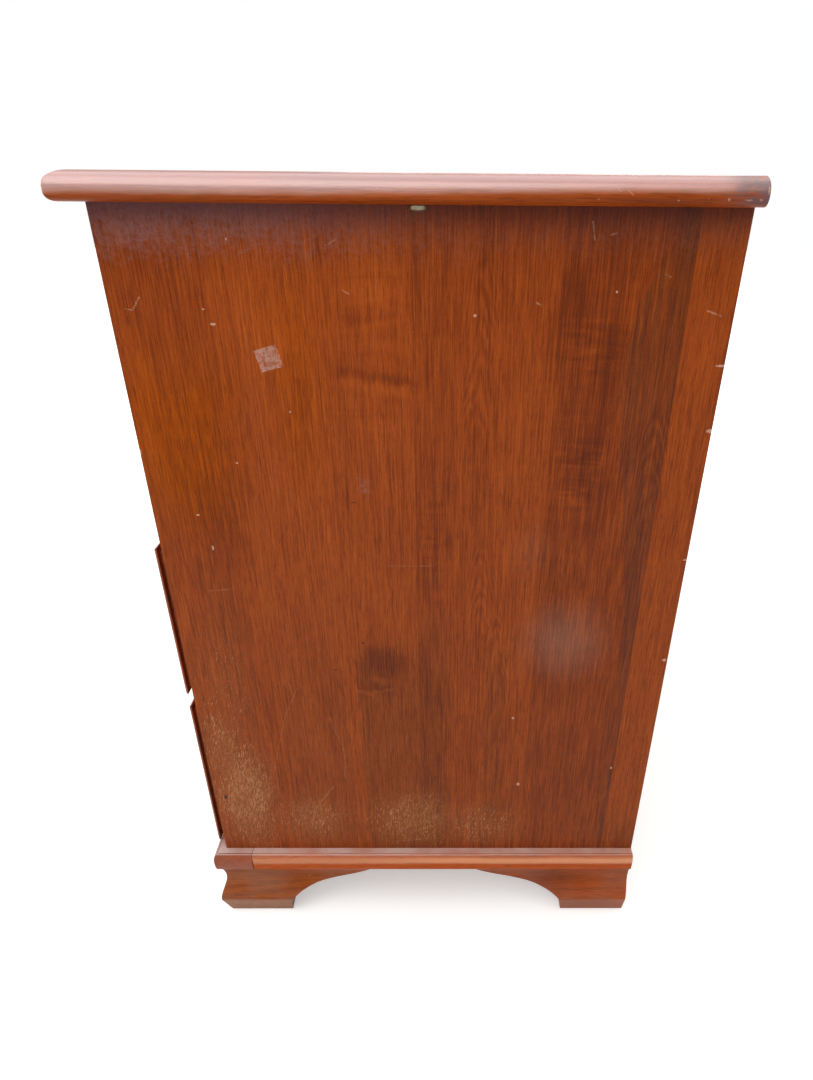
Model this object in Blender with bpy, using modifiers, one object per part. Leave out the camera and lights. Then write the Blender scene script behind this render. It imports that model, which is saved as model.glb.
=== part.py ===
# Four-drawer chest on ogee bracket feet, in metres, +Z up.
# The origin is on the floor under the middle of the whole chest, and the front faces -Y.

import math

import bmesh
import bpy

# Carcase
case_width = 0.813
case_depth = 0.483
case_height = 0.652
side_thickness = 0.019
joint_gap = 0.0003

# Top board and its thumbnail edge
top_thickness = 0.019
top_end_overhang = 0.0245
top_front_overhang = 0.019
top_upper_run = 0.016
top_upper_rise = 0.011
top_lower_run = 0.0075
top_lower_rise = 0.006

# Rails, dust panels and back
rail_depth = 0.060
rail_reveal = 0.016
top_rail_reveal = 0.0105
bottom_rail_height = 0.010
bottom_rail_reveal = 0.001
dust_panel_thickness = 0.009
dado_depth = 0.005
back_thickness = 0.005
back_rabbet_width = 0.010

# Drawers from the top down, each taller than the one above, the lower two left ajar
drawer_count = 4
drawer_growth = 0.0325
lower_drawers_ajar = 0.0095
ajar_from_drawer = 3
lip_thickness = 0.005
lip_side_overlap = 0.006
lip_rail_overlap = 0.004
lip_round_run = 0.0075
lip_square_edge = 0.001
lip_step = 0.0008
tongue_depth = 0.014
drawer_side_clearance = 0.0009
drawer_top_clearance = 0.002
drawer_side_drop = 0.005
drawer_side_thickness = 0.0115
drawer_back_thickness = 0.0105
drawer_back_drop = 0.006
drawer_rear_space = 0.016
drawer_bottom_thickness = 0.005
drawer_bottom_height = 0.0075
drawer_groove_depth = 0.005

# Dovetails of the drawers
tail_length = 0.010
tail_pitch = 0.029
tail_width_share = 0.68
tail_slope_share = 0.16

# Base frame and its moulded edge
base_thickness = 0.024
base_outset = 0.0135
base_front_depth = 0.032
base_rail_width = 0.046
ledge_inset = 0.0049
quirk_depth = 0.0012
quirk_width = 0.0009
base_round_top = 0.0115
base_round_under = 0.0025

# Ogee bracket feet
foot_height = 0.077
foot_top_outset = 0.0085
foot_neck_outset = 0.0048
foot_bulge_outset = 0.0138
foot_toe_outset = 0.0058
foot_neck_share = 0.22
foot_bulge_share = 0.66
foot_wall_inset = 0.012
front_toe_reach = 0.0695
front_tip_reach = 0.172
rear_toe_reach = 0.0775
rear_tip_reach = 0.188
rear_bracket_thickness = 0.019
rear_bracket_toe = 0.040
rear_bracket_tip = 0.120
rear_bracket_inset = 0.001
glue_block_size = 0.036
glue_block_lift = 0.003
glue_bite = 0.001
scroll_shares = (
    (0.0, 1.0),
    (0.012, 0.80),
    (0.045, 0.66),
    (0.115, 0.545),
    (0.22, 0.445),
    (0.37, 0.345),
    (0.57, 0.262),
    (0.78, 0.185),
    (0.91, 0.118),
    (1.0, 0.040),
)

# Figure-eight fasteners that hold the top to the sides
fastener_from_front = 0.239
fastener_thickness = 0.003
fastener_radius = 0.0065
fastener_inner_set = 0.0095
fastener_outer_set = 0.0055
fastener_waist = 0.005

# Bail pulls: a cut-out plate, two turned posts and a swinging bail
pull_offset = 0.205
plate_width = 0.096
plate_height = 0.060
plate_thickness = 0.0018
post_spacing = 0.070
post_foot_radius = 0.0056
post_foot_height = 0.0014
post_neck_radius = 0.0034
post_head_radius = 0.0050
pivot_stand_off = 0.0125
pivot_bore_radius = 0.0026
bail_radius = 0.0020
bail_drop = 0.031
bail_shoulder = 0.0040
bail_post_clearance = 0.0008
bail_pin_length = 0.0040
bail_fall_power = 1.2
bail_width_power = 0.55
plate_half_shares = (
    (0.0, 1.0),
    (0.10, 0.94),
    (0.17, 0.74),
    (0.27, 0.66),
    (0.36, 0.76),
    (0.48, 0.86),
    (0.62, 0.83),
    (0.71, 0.66),
    (0.70, 0.46),
    (0.80, 0.34),
    (0.93, 0.25),
    (1.0, 0.02),
    (0.92, -0.20),
    (0.79, -0.27),
    (0.69, -0.38),
    (0.70, -0.60),
    (0.58, -0.77),
    (0.42, -0.79),
    (0.31, -0.64),
    (0.19, -0.70),
    (0.11, -0.92),
    (0.0, -1.0),
)

# Working allowances
cut_overrun = 0.004
weld_distance = 0.00001

# Derived places
pull_reach = plate_thickness + pivot_stand_off + post_head_radius
front_reach = lower_drawers_ajar + lip_thickness + pull_reach
case_front = (front_reach - case_depth) / 2
case_back = case_front + case_depth
half_case = case_width / 2
ledge_z = foot_height + base_thickness
case_top = ledge_z + case_height
opening_half = half_case - side_thickness
back_face = case_back - back_thickness - joint_gap
rail_back = case_front + rail_depth
moulding_x = half_case + base_outset
moulding_y = case_front - base_outset
foot_top = foot_height - joint_gap
foot_wall_x = half_case - foot_wall_inset
foot_outer_x = half_case + foot_bulge_outset + cut_overrun

# Finishes: base colour, roughness, metallic
cherry = ((0.30, 0.075, 0.020, 1.0), 0.38, 0.0)
poplar = ((0.50, 0.34, 0.18, 1.0), 0.62, 0.0)
plywood = ((0.36, 0.22, 0.11, 1.0), 0.70, 0.0)
brass = ((0.52, 0.36, 0.14, 1.0), 0.32, 1.0)
zinc = ((0.30, 0.29, 0.22, 1.0), 0.48, 1.0)

# An outline drawn flat is turned up to face the front, or to face the end of the chest
lying = (0.0, 0.0, 0.0)
facing_front = (math.pi / 2, 0.0, 0.0)
facing_end = (math.pi / 2, 0.0, math.pi / 2)


def new_collection(name):
    collection = bpy.data.collections.new(name)
    bpy.context.scene.collection.children.link(collection)
    return collection


for old_item in list(bpy.data.objects):
    bpy.data.objects.remove(old_item, do_unlink=True)
parts = new_collection("chest_of_drawers")
cutters = new_collection("cutters")


def finish_material(name, finish):
    colour, roughness, metallic = finish
    material = bpy.data.materials.new(name)
    material.use_nodes = True
    shader = material.node_tree.nodes["Principled BSDF"]
    shader.inputs["Base Color"].default_value = colour
    shader.inputs["Roughness"].default_value = roughness
    shader.inputs["Metallic"].default_value = metallic
    material.diffuse_color = colour
    return material


def move_to_collection(item, collection):
    for owner in list(item.users_collection):
        owner.objects.unlink(item)
    collection.objects.link(item)


def as_part(item, finish, holder=None):
    item.data.materials.clear()
    item.data.materials.append(finish_material(item.name, finish))
    move_to_collection(item, parts)
    if holder:
        item.parent = holder
        item.location = [place - base for place, base in zip(item.location, holder.location)]
    return item


def as_cutter(item):
    move_to_collection(item, cutters)
    item.display_type = "WIRE"
    item.hide_render = True
    return item


def boolean(item, other, operation):
    modifier = item.modifiers.new(operation.lower(), "BOOLEAN")
    modifier.operation = operation
    modifier.object = as_cutter(other)


def mesh_object(name, work_mesh, place=(0.0, 0.0, 0.0), turn=lying):
    data = bpy.data.meshes.new(name)
    bmesh.ops.recalc_face_normals(work_mesh, faces=work_mesh.faces)
    work_mesh.to_mesh(data)
    work_mesh.free()
    item = bpy.data.objects.new(name, data)
    bpy.context.scene.collection.objects.link(item)
    item.location = place
    item.rotation_euler = turn
    return item


def box(name, x_span, y_span, z_span):
    spans = [sorted(span) for span in (x_span, y_span, z_span)]
    work_mesh = bmesh.new()
    bmesh.ops.create_cube(work_mesh, size=1.0)
    bmesh.ops.scale(work_mesh, vec=[high - low for low, high in spans], verts=work_mesh.verts)
    return mesh_object(name, work_mesh, [(low + high) / 2 for low, high in spans])


def shade_round(item):
    item.data.shade_smooth()
    item.data.set_sharp_from_angle(angle=math.radians(35))


def curve_to_mesh(name, curve, place, turn):
    # The caps of a filled or bevelled curve are loose, so they are welded to its sides.
    curve_item = bpy.data.objects.new(name, curve)
    bpy.context.scene.collection.objects.link(curve_item)
    bpy.context.view_layer.update()
    graph = bpy.context.evaluated_depsgraph_get()
    loose = bpy.data.meshes.new_from_object(curve_item.evaluated_get(graph))
    work_mesh = bmesh.new()
    work_mesh.from_mesh(loose)
    bmesh.ops.remove_doubles(work_mesh, verts=work_mesh.verts, dist=weld_distance)
    bpy.data.objects.remove(curve_item, do_unlink=True)
    bpy.data.meshes.remove(loose)
    return mesh_object(name, work_mesh, place, turn)


def prism(name, outline, span, turn):
    # A flat outline with thickness, from one place to another along the way it faces.
    low, high = sorted(span)
    curve = bpy.data.curves.new(name, "CURVE")
    curve.dimensions = "2D"
    curve.fill_mode = "BOTH"
    curve.extrude = (high - low) / 2
    spline = curve.splines.new("POLY")
    spline.points.add(len(outline) - 1)
    for point, (along, up) in zip(spline.points, outline):
        point.co = (along, up, 0.0, 1.0)
    spline.use_cyclic_u = True
    middle = (low + high) / 2
    places = {lying: (0.0, 0.0, middle), facing_front: (0.0, middle, 0.0), facing_end: (middle, 0.0, 0.0)}
    return curve_to_mesh(name, curve, places[turn], turn)


def quarter_ellipse(centre, run, rise, start, end, steps):
    # Angles are counted in quarter turns.
    points = []
    for step in range(steps + 1):
        angle = (start + (end - start) * step / steps) * math.pi / 2
        points.append((centre[0] + run * math.cos(angle), centre[1] + rise * math.sin(angle)))
    return points


def flip(outline, side):
    return [(side * along, up) for along, up in outline]


def stretch(edge):
    # The same edge carried on past both faces, for a solid that only trims another.
    first, last = edge[0], edge[-1]
    return [(first[0], first[1] - cut_overrun)] + edge + [(last[0], last[1] + cut_overrun)]


def section(low, high, low_edge, high_edge):
    # A board's cross-section, with each edge listed as (inset, height) from the underside up.
    outline = [(high - inset, height) for inset, height in high_edge]
    return outline + [(low + inset, height) for inset, height in reversed(low_edge)]


def square_edge(edge):
    return [(0.0, edge[0][1]), (0.0, edge[-1][1])]


def moulded_board(name, x_span, y_span, edge):
    # A board moulded on its front and both ends, with mitred corners and a square back.
    front = section(y_span[0], y_span[1], edge, square_edge(edge))
    board = prism(name, front, x_span, facing_end)
    ends = section(x_span[0], x_span[1], stretch(edge), stretch(edge))
    end_span = (y_span[0] - cut_overrun, y_span[1] + cut_overrun)
    boolean(board, prism(name + "_ends", ends, end_span, facing_front), "INTERSECT")
    return board


def top_edge():
    # A short round under and a long, soft round above.
    under_centre = (top_lower_run, case_top + top_lower_rise)
    over_centre = (top_upper_run, case_top + top_thickness - top_upper_rise)
    under = quarter_ellipse(under_centre, -top_lower_run, -top_lower_rise, 1, 0, 4)
    return under + quarter_ellipse(over_centre, -top_upper_run, top_upper_rise, 0, 1, 7)


def base_edge():
    # A swelled edge, a quirk, and the flat ledge that the case stands on.
    swell_z = ledge_z - base_round_top
    quirk_outer = ledge_inset - quirk_width
    over_rise = base_round_top - quirk_depth / 2
    under = quarter_ellipse(
        (base_round_under, swell_z), -base_round_under, foot_height - swell_z, 1, 0, 4
    )
    over = quarter_ellipse((quirk_outer, swell_z), -quirk_outer, over_rise, 0, 1, 5)
    quirk = [(quirk_outer, ledge_z - quirk_depth), (ledge_inset, ledge_z - quirk_depth)]
    return under + over[1:] + quirk + [(ledge_inset, ledge_z)]


def foot_edge():
    # The ogee from the floor up, as (outset, height): toe, swelled arris, hollow neck, top.
    bulge_z = foot_top * (1 - foot_bulge_share)
    neck_z = foot_top * (1 - foot_neck_share)
    toe = []
    toe_steps = 4
    for step in range(toe_steps):
        swell = math.sin(step / toe_steps * math.pi / 2)
        outset = foot_toe_outset + (foot_bulge_outset - foot_toe_outset) * swell
        toe.append((outset, bulge_z * step / toe_steps))
    ogee = []
    ogee_steps = 8
    for step in range(ogee_steps + 1):
        fall = (1 - math.cos(step / ogee_steps * math.pi)) / 2
        outset = foot_bulge_outset + (foot_neck_outset - foot_bulge_outset) * fall
        ogee.append((outset, bulge_z + (neck_z - bulge_z) * step / ogee_steps))
    cove = []
    cove_steps = 3
    for step in range(1, cove_steps + 1):
        rise = 1 - math.cos(step / cove_steps * math.pi / 2)
        outset = foot_neck_outset + (foot_top_outset - foot_neck_outset) * rise
        cove.append((outset, neck_z + (foot_top - neck_z) * step / cove_steps))
    return toe + ogee + cove


def scroll_line(toe, tip):
    # The scrolled lower edge of a bracket, from its toe on the floor to its tip.
    return [(toe + (tip - toe) * run, foot_top * (1 - fall)) for run, fall in scroll_shares]


def scroll_cut(toe, tip):
    # The open space beside a bracket.
    line = scroll_line(toe, tip)
    far = tip + math.copysign(cut_overrun, tip - toe)
    return [(toe, -cut_overrun)] + line + [(far, line[-1][1]), (far, -cut_overrun)]


def front_foot(name, side):
    # Two ogee brackets that meet in a mitre, with a glue block in the corner behind them.
    edge = [(-outset, height) for outset, height in foot_edge()]
    inner_x = half_case - front_tip_reach
    inner_y = case_front + front_tip_reach
    wall_y = case_front + foot_wall_inset
    outer_y = case_front - foot_bulge_outset - cut_overrun
    end_section = section(inner_x, half_case, square_edge(edge), edge)
    front_section = section(case_front, inner_y, stretch(edge), square_edge(stretch(edge)))
    foot = prism(name, flip(end_section, side), (outer_y, inner_y), facing_front)
    across = (side * (inner_x - cut_overrun), side * foot_outer_x)
    boolean(foot, prism(name + "_front_ogee", front_section, across, facing_end), "INTERSECT")
    hollow = box(
        name + "_hollow",
        (side * (inner_x - cut_overrun), side * foot_wall_x),
        (wall_y, inner_y + cut_overrun),
        (-cut_overrun, foot_height + cut_overrun),
    )
    boolean(foot, hollow, "DIFFERENCE")
    side_scroll = scroll_cut(case_front + front_toe_reach, inner_y)
    side_run = (side * (foot_wall_x - cut_overrun), side * foot_outer_x)
    boolean(foot, prism(name + "_side_scroll", side_scroll, side_run, facing_end), "DIFFERENCE")
    front_scroll = flip(scroll_cut(half_case - front_toe_reach, inner_x), side)
    front_run = (outer_y, wall_y + cut_overrun)
    boolean(foot, prism(name + "_front_scroll", front_scroll, front_run, facing_front), "DIFFERENCE")
    block = box(
        name + "_glue_block",
        (side * (foot_wall_x - glue_block_size), side * (foot_wall_x + glue_bite)),
        (wall_y - glue_bite, wall_y + glue_block_size),
        (glue_block_lift, foot_height - glue_block_lift),
    )
    boolean(foot, block, "UNION")
    as_part(foot, cherry)


def rear_foot(name, side):
    # An ogee bracket along the side, and a plain bracket glued across behind it.
    edge = [(-outset, height) for outset, height in foot_edge()]
    tip_y = case_back - rear_tip_reach
    end_section = section(foot_wall_x, half_case, square_edge(edge), edge)
    foot = prism(name, flip(end_section, side), (tip_y, case_back), facing_front)
    scroll = scroll_cut(case_back - rear_toe_reach, tip_y)
    scroll_run = (side * (foot_wall_x - cut_overrun), side * foot_outer_x)
    boolean(foot, prism(name + "_scroll", scroll, scroll_run, facing_end), "DIFFERENCE")
    glued_x = foot_wall_x + glue_bite
    line = scroll_line(foot_wall_x - rear_bracket_toe, foot_wall_x - rear_bracket_tip)
    bracket = [(glued_x, foot_top), (glued_x, 0.0)] + line + [(line[-1][0], foot_top)]
    bracket_y = case_back - rear_bracket_inset
    bracket_run = (bracket_y - rear_bracket_thickness, bracket_y)
    boolean(foot, prism(name + "_bracket", flip(bracket, side), bracket_run, facing_front), "UNION")
    as_part(foot, cherry)


def fastener_outline(side, grow):
    # Two round ends joined by a narrow waist, seen from above.
    inner = half_case - fastener_inner_set
    outer = half_case + fastener_outer_set
    centre_y = case_front + fastener_from_front
    radius = fastener_radius + grow
    waist_angle = math.asin((fastener_waist / 2 + grow) / radius)
    steps = 12
    points = []
    for centre, start in ((outer, -math.pi), (inner, 0.0)):
        for step in range(steps + 1):
            angle = start + waist_angle + (2 * math.pi - 2 * waist_angle) * step / steps
            points.append((centre + radius * math.cos(angle), centre_y + radius * math.sin(angle)))
    return flip(points, side)


def side_panel(name, side, dado_heights):
    # A solid side, dadoed for the dust panels, rabbeted for the back and notched for a fastener.
    panel_z = (ledge_z + joint_gap, case_top - joint_gap)
    panel = box(name, (side * half_case, side * opening_half), (case_front, case_back), panel_z)
    inside_x = side * (opening_half - cut_overrun)
    for number, height in enumerate(dado_heights, start=1):
        dado_x = (inside_x, side * (opening_half + dado_depth))
        dado_z = (height - dust_panel_thickness - joint_gap, height + joint_gap)
        dado = box(f"{name}_dado_{number}", dado_x, (rail_back, case_back + cut_overrun), dado_z)
        boolean(panel, dado, "DIFFERENCE")
    rabbet_x = (inside_x, side * (opening_half + back_rabbet_width))
    rabbet_z = (ledge_z - cut_overrun, case_top + cut_overrun)
    rabbet = box(name + "_rabbet", rabbet_x, (back_face, case_back + cut_overrun), rabbet_z)
    boolean(panel, rabbet, "DIFFERENCE")
    notch_z = (panel_z[1] - fastener_thickness - joint_gap, case_top + cut_overrun)
    notch = prism(name + "_notch", fastener_outline(side, joint_gap), notch_z, lying)
    boolean(panel, notch, "DIFFERENCE")
    as_part(panel, cherry)


def case_board(name, half_length, y_span, z_span, finish):
    as_part(box(name, (-half_length, half_length), y_span, z_span), finish)


def build_case(drawer_spans):
    top_x = half_case + top_end_overhang
    top_y = (case_front - top_front_overhang, case_back)
    as_part(moulded_board("top", (-top_x, top_x), top_y, top_edge()), cherry)

    rail_half = opening_half - joint_gap
    rail_y = (case_front, rail_back)
    panel_y = (rail_back + joint_gap, back_face - joint_gap)
    case_top_z = case_top - joint_gap
    top_rail_z = (drawer_spans[0][1] - lip_rail_overlap, case_top_z)
    case_board("top_rail", rail_half, rail_y, top_rail_z, cherry)
    dado_heights = []
    for number, (upper, lower) in enumerate(zip(drawer_spans, drawer_spans[1:]), start=1):
        rail_top = upper[0] + lip_rail_overlap
        rail_z = (lower[1] - lip_rail_overlap, rail_top)
        case_board(f"divider_rail_{number}", rail_half, rail_y, rail_z, cherry)
        dust_half = opening_half + dado_depth - joint_gap
        dust_z = (rail_top - dust_panel_thickness, rail_top)
        case_board(f"dust_panel_{number}", dust_half, panel_y, dust_z, poplar)
        dado_heights.append(rail_top)
    floor_z = (ledge_z + joint_gap, ledge_z + bottom_rail_height)
    case_board("bottom_rail", rail_half, rail_y, floor_z, cherry)
    case_board("case_bottom", rail_half, panel_y, floor_z, poplar)

    back_half = opening_half + back_rabbet_width - joint_gap
    back_y = (case_back - back_thickness, case_back)
    case_board("back_panel", back_half, back_y, (ledge_z + joint_gap, case_top_z), plywood)
    for label, side in (("left", -1), ("right", 1)):
        side_panel(f"side_panel_{label}", side, dado_heights)
        fastener_z = (case_top_z - fastener_thickness, case_top_z)
        fastener = prism(f"top_fastener_{label}", fastener_outline(side, 0.0), fastener_z, lying)
        shade_round(fastener)
        as_part(fastener, zinc)


def build_base():
    edge = base_edge()
    front_y = (moulding_y, case_front + base_front_depth)
    as_part(moulded_board("base_front", (-moulding_x, moulding_x), front_y, edge), cherry)
    inner_x = half_case - base_rail_width
    side_y = (front_y[1] + joint_gap, case_back)
    for label, side in (("left", -1), ("right", 1)):
        outline = flip(section(inner_x, moulding_x, square_edge(edge), edge), side)
        as_part(prism(f"base_side_{label}", outline, side_y, facing_front), cherry)
        front_foot(f"front_foot_{label}", side)
        rear_foot(f"rear_foot_{label}", side)
    back_y = (case_back - base_rail_width, case_back)
    case_board("base_back", inner_x - joint_gap, back_y, (foot_height, ledge_z), poplar)


def lip_edge(overlap):
    # A drawer front's edge as (inset, depth): tongue, lip, round and the small step on its face.
    rise = lip_thickness - lip_step - lip_square_edge
    rounded = quarter_ellipse((lip_round_run, lip_square_edge), -lip_round_run, rise, 0, 1, 5)
    tongue = [(overlap, -tongue_depth), (overlap, joint_gap), (0.0, joint_gap)]
    return tongue + rounded + [(lip_round_run, lip_thickness)]


def tails(baseline, tip, low, high, grow):
    # A row of dovetails seen from the side of a drawer, listed upwards.
    count = max(1, round((high - low) / tail_pitch))
    pitch = (high - low) / count
    flare = abs(tip - baseline) * tail_slope_share
    tip_y = tip + math.copysign(grow, tip - baseline)
    points = []
    for number in range(count):
        centre = low + pitch * (number + 1 / 2)
        tip_half = pitch * tail_width_share / 2 + grow
        root_half = tip_half - flare
        points += [(baseline, centre - root_half), (tip_y, centre - tip_half)]
        points += [(tip_y, centre + tip_half), (baseline, centre + root_half)]
    return points


def socket_cut(baseline, tip, low, high):
    # The sockets that a row of dovetails fits into, open behind the baseline.
    behind = baseline - math.copysign(cut_overrun, tip - baseline)
    return [(behind, low)] + tails(baseline, tip, low, high, joint_gap) + [(behind, high)]


def turned_post(name, place):
    # A turned post, listed from its head down to the foot that sits on the plate.
    head_z = pivot_stand_off + plate_thickness / 2
    profile = quarter_ellipse((0.0, head_z), post_head_radius, post_head_radius, 1, -0.5, 5)
    profile += [(post_neck_radius, head_z - post_head_radius)]
    profile += [(post_neck_radius, post_foot_height + plate_thickness / 2)]
    profile += [(post_foot_radius, plate_thickness / 2), (post_foot_radius, 0.0), (0.0, 0.0)]
    work_mesh = bmesh.new()
    verts = [work_mesh.verts.new((radius, 0.0, height)) for radius, height in profile]
    for first, second in zip(verts, verts[1:]):
        work_mesh.edges.new((first, second))
    item = mesh_object(name, work_mesh, place, facing_front)
    turning = item.modifiers.new("turning", "SCREW")
    turning.steps = 10
    turning.render_steps = 10
    turning.use_merge_vertices = True
    turning.merge_threshold = weld_distance
    return item


def pull_plate(name, place, holder):
    # A cut-out plate with its two posts, bored across for the ends of the bail.
    half_width = plate_width / 2
    half_height = plate_height / 2
    right = [(half_width * along, half_height * up) for along, up in plate_half_shares]
    left = [(-along, up) for along, up in reversed(right[1:-1])]
    outline = [(place[0] + along, place[2] + up) for along, up in right + left]
    plate_y = (place[1] - plate_thickness, place[1] - joint_gap)
    plate = prism(name, outline, plate_y, facing_front)
    middle_y = place[1] - plate_thickness / 2
    for number, side in enumerate((-1, 1), start=1):
        post_x = place[0] + side * post_spacing / 2
        post = turned_post(f"{name}_post_{number}", (post_x, middle_y, place[2]))
        boolean(plate, post, "UNION")
    work_mesh = bmesh.new()
    bmesh.ops.create_cone(
        work_mesh,
        cap_ends=True,
        segments=12,
        radius1=pivot_bore_radius,
        radius2=pivot_bore_radius,
        depth=plate_width,
    )
    pivot_y = place[1] - plate_thickness - pivot_stand_off
    bore = mesh_object(name + "_bore", work_mesh, (place[0], pivot_y, place[2]), facing_end)
    boolean(plate, bore, "DIFFERENCE")
    as_part(plate, brass, holder)


def bail(name, place, holder):
    # A hanging handle whose ends turn in through the posts. Its origin is on the pivot line.
    leg_x = post_spacing / 2 + post_head_radius + bail_post_clearance + bail_radius
    pin_x = post_spacing / 2 - bail_pin_length / 2
    half = [(pin_x, 0.0)]
    half += quarter_ellipse((leg_x - bail_shoulder, -bail_shoulder), bail_shoulder, bail_shoulder, 1, 0, 3)
    sweep_steps = 8
    for step in range(1, sweep_steps + 1):
        angle = step / sweep_steps * math.pi / 2
        fall = (bail_drop - bail_shoulder) * math.sin(angle) ** bail_fall_power
        half.append((leg_x * math.cos(angle) ** bail_width_power, -bail_shoulder - fall))
    half[-1] = (0.0, -bail_drop)
    route = half + [(-along, up) for along, up in reversed(half[:-1])]
    curve = bpy.data.curves.new(name, "CURVE")
    curve.dimensions = "3D"
    curve.bevel_depth = bail_radius
    curve.bevel_resolution = 2
    curve.use_fill_caps = True
    spline = curve.splines.new("POLY")
    spline.points.add(len(route) - 1)
    for point, (along, up) in zip(spline.points, route):
        point.co = (along, 0.0, up, 1.0)
    item = curve_to_mesh(name, curve, place, lying)
    shade_round(item)
    as_part(item, brass, holder)


def drawer(number, lip_low, lip_high, floor_z, ajar):
    # A lipped front, dovetailed sides and back, a bottom let into grooves, and two pulls.
    name = f"drawer_{number}"
    face = case_front - ajar
    lip_half = opening_half + lip_side_overlap
    outer_half = opening_half - drawer_side_clearance
    inner_half = outer_half - drawer_side_thickness
    low = floor_z + joint_gap
    tongue_high = lip_high - lip_rail_overlap - drawer_top_clearance
    side_high = tongue_high - drawer_side_drop
    tongue_back = face + tongue_depth
    rear = back_face - drawer_rear_space - ajar
    back_inner = rear - drawer_back_thickness
    panel_low = floor_z + drawer_bottom_height
    panel_high = panel_low + drawer_bottom_thickness
    back_z = (panel_high + joint_gap, side_high - drawer_back_drop)
    groove_z = (panel_low - joint_gap, panel_high + joint_gap)
    groove_half = inner_half + drawer_groove_depth
    groove_front = tongue_back - drawer_groove_depth
    front_baseline = tongue_back + joint_gap
    front_tip = front_baseline - tail_length
    rear_baseline = back_inner - joint_gap

    holder = bpy.data.objects.new(name + "_slide", None)
    holder.location = (0.0, face, floor_z)
    parts.objects.link(holder)

    upright = section(lip_low, lip_high, lip_edge(low - lip_low), lip_edge(lip_high - tongue_high))
    upright = [(face - depth, height) for height, depth in upright]
    side_edge = stretch(lip_edge(lip_half - outer_half))
    plan = [(along, face - depth) for along, depth in section(-lip_half, lip_half, side_edge, side_edge)]
    trim_half = lip_half + cut_overrun
    front = prism(name + "_front", upright, (-trim_half, trim_half), facing_end)
    plan_z = (lip_low - cut_overrun, lip_high + cut_overrun)
    boolean(front, prism(name + "_plan", plan, plan_z, lying), "INTERSECT")
    back = box(name + "_back", (-outer_half, outer_half), (back_inner, rear), back_z)

    side_outline = [(front_baseline, low)]
    side_outline += tails(front_baseline, front_tip, low, side_high, 0.0)
    side_outline += [(front_baseline, side_high), (rear, side_high), (rear, back_z[1] + joint_gap)]
    side_outline += [(rear_baseline, back_z[1] + joint_gap)]
    side_outline += reversed(tails(rear_baseline, rear, back_z[0], back_z[1], 0.0))
    side_outline += [(rear_baseline, back_z[0] - joint_gap), (rear, back_z[0] - joint_gap), (rear, low)]
    front_sockets = socket_cut(front_baseline, front_tip, low, side_high)
    rear_sockets = socket_cut(rear_baseline, rear, back_z[0], back_z[1])
    for label, side in (("left", -1), ("right", 1)):
        piece_x = (side * inner_half, side * outer_half)
        piece = prism(f"{name}_side_{label}", side_outline, piece_x, facing_end)
        groove_x = (side * (inner_half - cut_overrun), side * (groove_half + joint_gap))
        groove_y = (front_tip - cut_overrun, rear + cut_overrun)
        boolean(piece, box(f"{name}_side_groove_{label}", groove_x, groove_y, groove_z), "DIFFERENCE")
        as_part(piece, poplar, holder)
        socket_x = (side * (inner_half - joint_gap), side * (outer_half + cut_overrun))
        front_socket = prism(f"{name}_front_socket_{label}", front_sockets, socket_x, facing_end)
        boolean(front, front_socket, "DIFFERENCE")
        back_socket = prism(f"{name}_back_socket_{label}", rear_sockets, socket_x, facing_end)
        boolean(back, back_socket, "DIFFERENCE")
    groove_x = (-groove_half - joint_gap, groove_half + joint_gap)
    groove_y = (groove_front - joint_gap, tongue_back + cut_overrun)
    boolean(front, box(name + "_front_groove", groove_x, groove_y, groove_z), "DIFFERENCE")
    as_part(front, cherry, holder)
    as_part(back, poplar, holder)
    panel_y = (groove_front, rear)
    bottom = box(name + "_bottom", (-groove_half, groove_half), panel_y, (panel_low, panel_high))
    as_part(bottom, poplar, holder)

    face_y = face - lip_thickness
    face_z = (lip_low + lip_high) / 2
    for label, side in (("left", -1), ("right", 1)):
        plate_place = (side * pull_offset, face_y, face_z)
        pivot_place = (side * pull_offset, face_y - plate_thickness - pivot_stand_off, face_z)
        pull_plate(f"pull_{number}_{label}", plate_place, holder)
        bail(f"bail_{number}_{label}", pivot_place, holder)


def drawer_spans():
    # The height of each drawer front, from the top one down, as (lowest, highest).
    reveals = top_rail_reveal + bottom_rail_reveal + rail_reveal * (drawer_count - 1)
    steps = drawer_count * (drawer_count - 1) / 2
    height = (case_height - reveals - drawer_growth * steps) / drawer_count
    high = case_top - top_rail_reveal
    spans = []
    for _ in range(drawer_count):
        spans.append((high - height, high))
        high -= height + rail_reveal
        height += drawer_growth
    return spans


def build_drawers(spans):
    for number, (low, high) in enumerate(spans, start=1):
        is_lowest = number == drawer_count
        floor_z = ledge_z + bottom_rail_height if is_lowest else low + lip_rail_overlap
        ajar = lower_drawers_ajar if number >= ajar_from_drawer else 0.0
        drawer(number, low, high, floor_z, ajar)


spans = drawer_spans()
build_case(spans)
build_base()
build_drawers(spans)
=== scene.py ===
import math

import bmesh
import bpy
from mathutils import Matrix, Vector, noise


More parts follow.
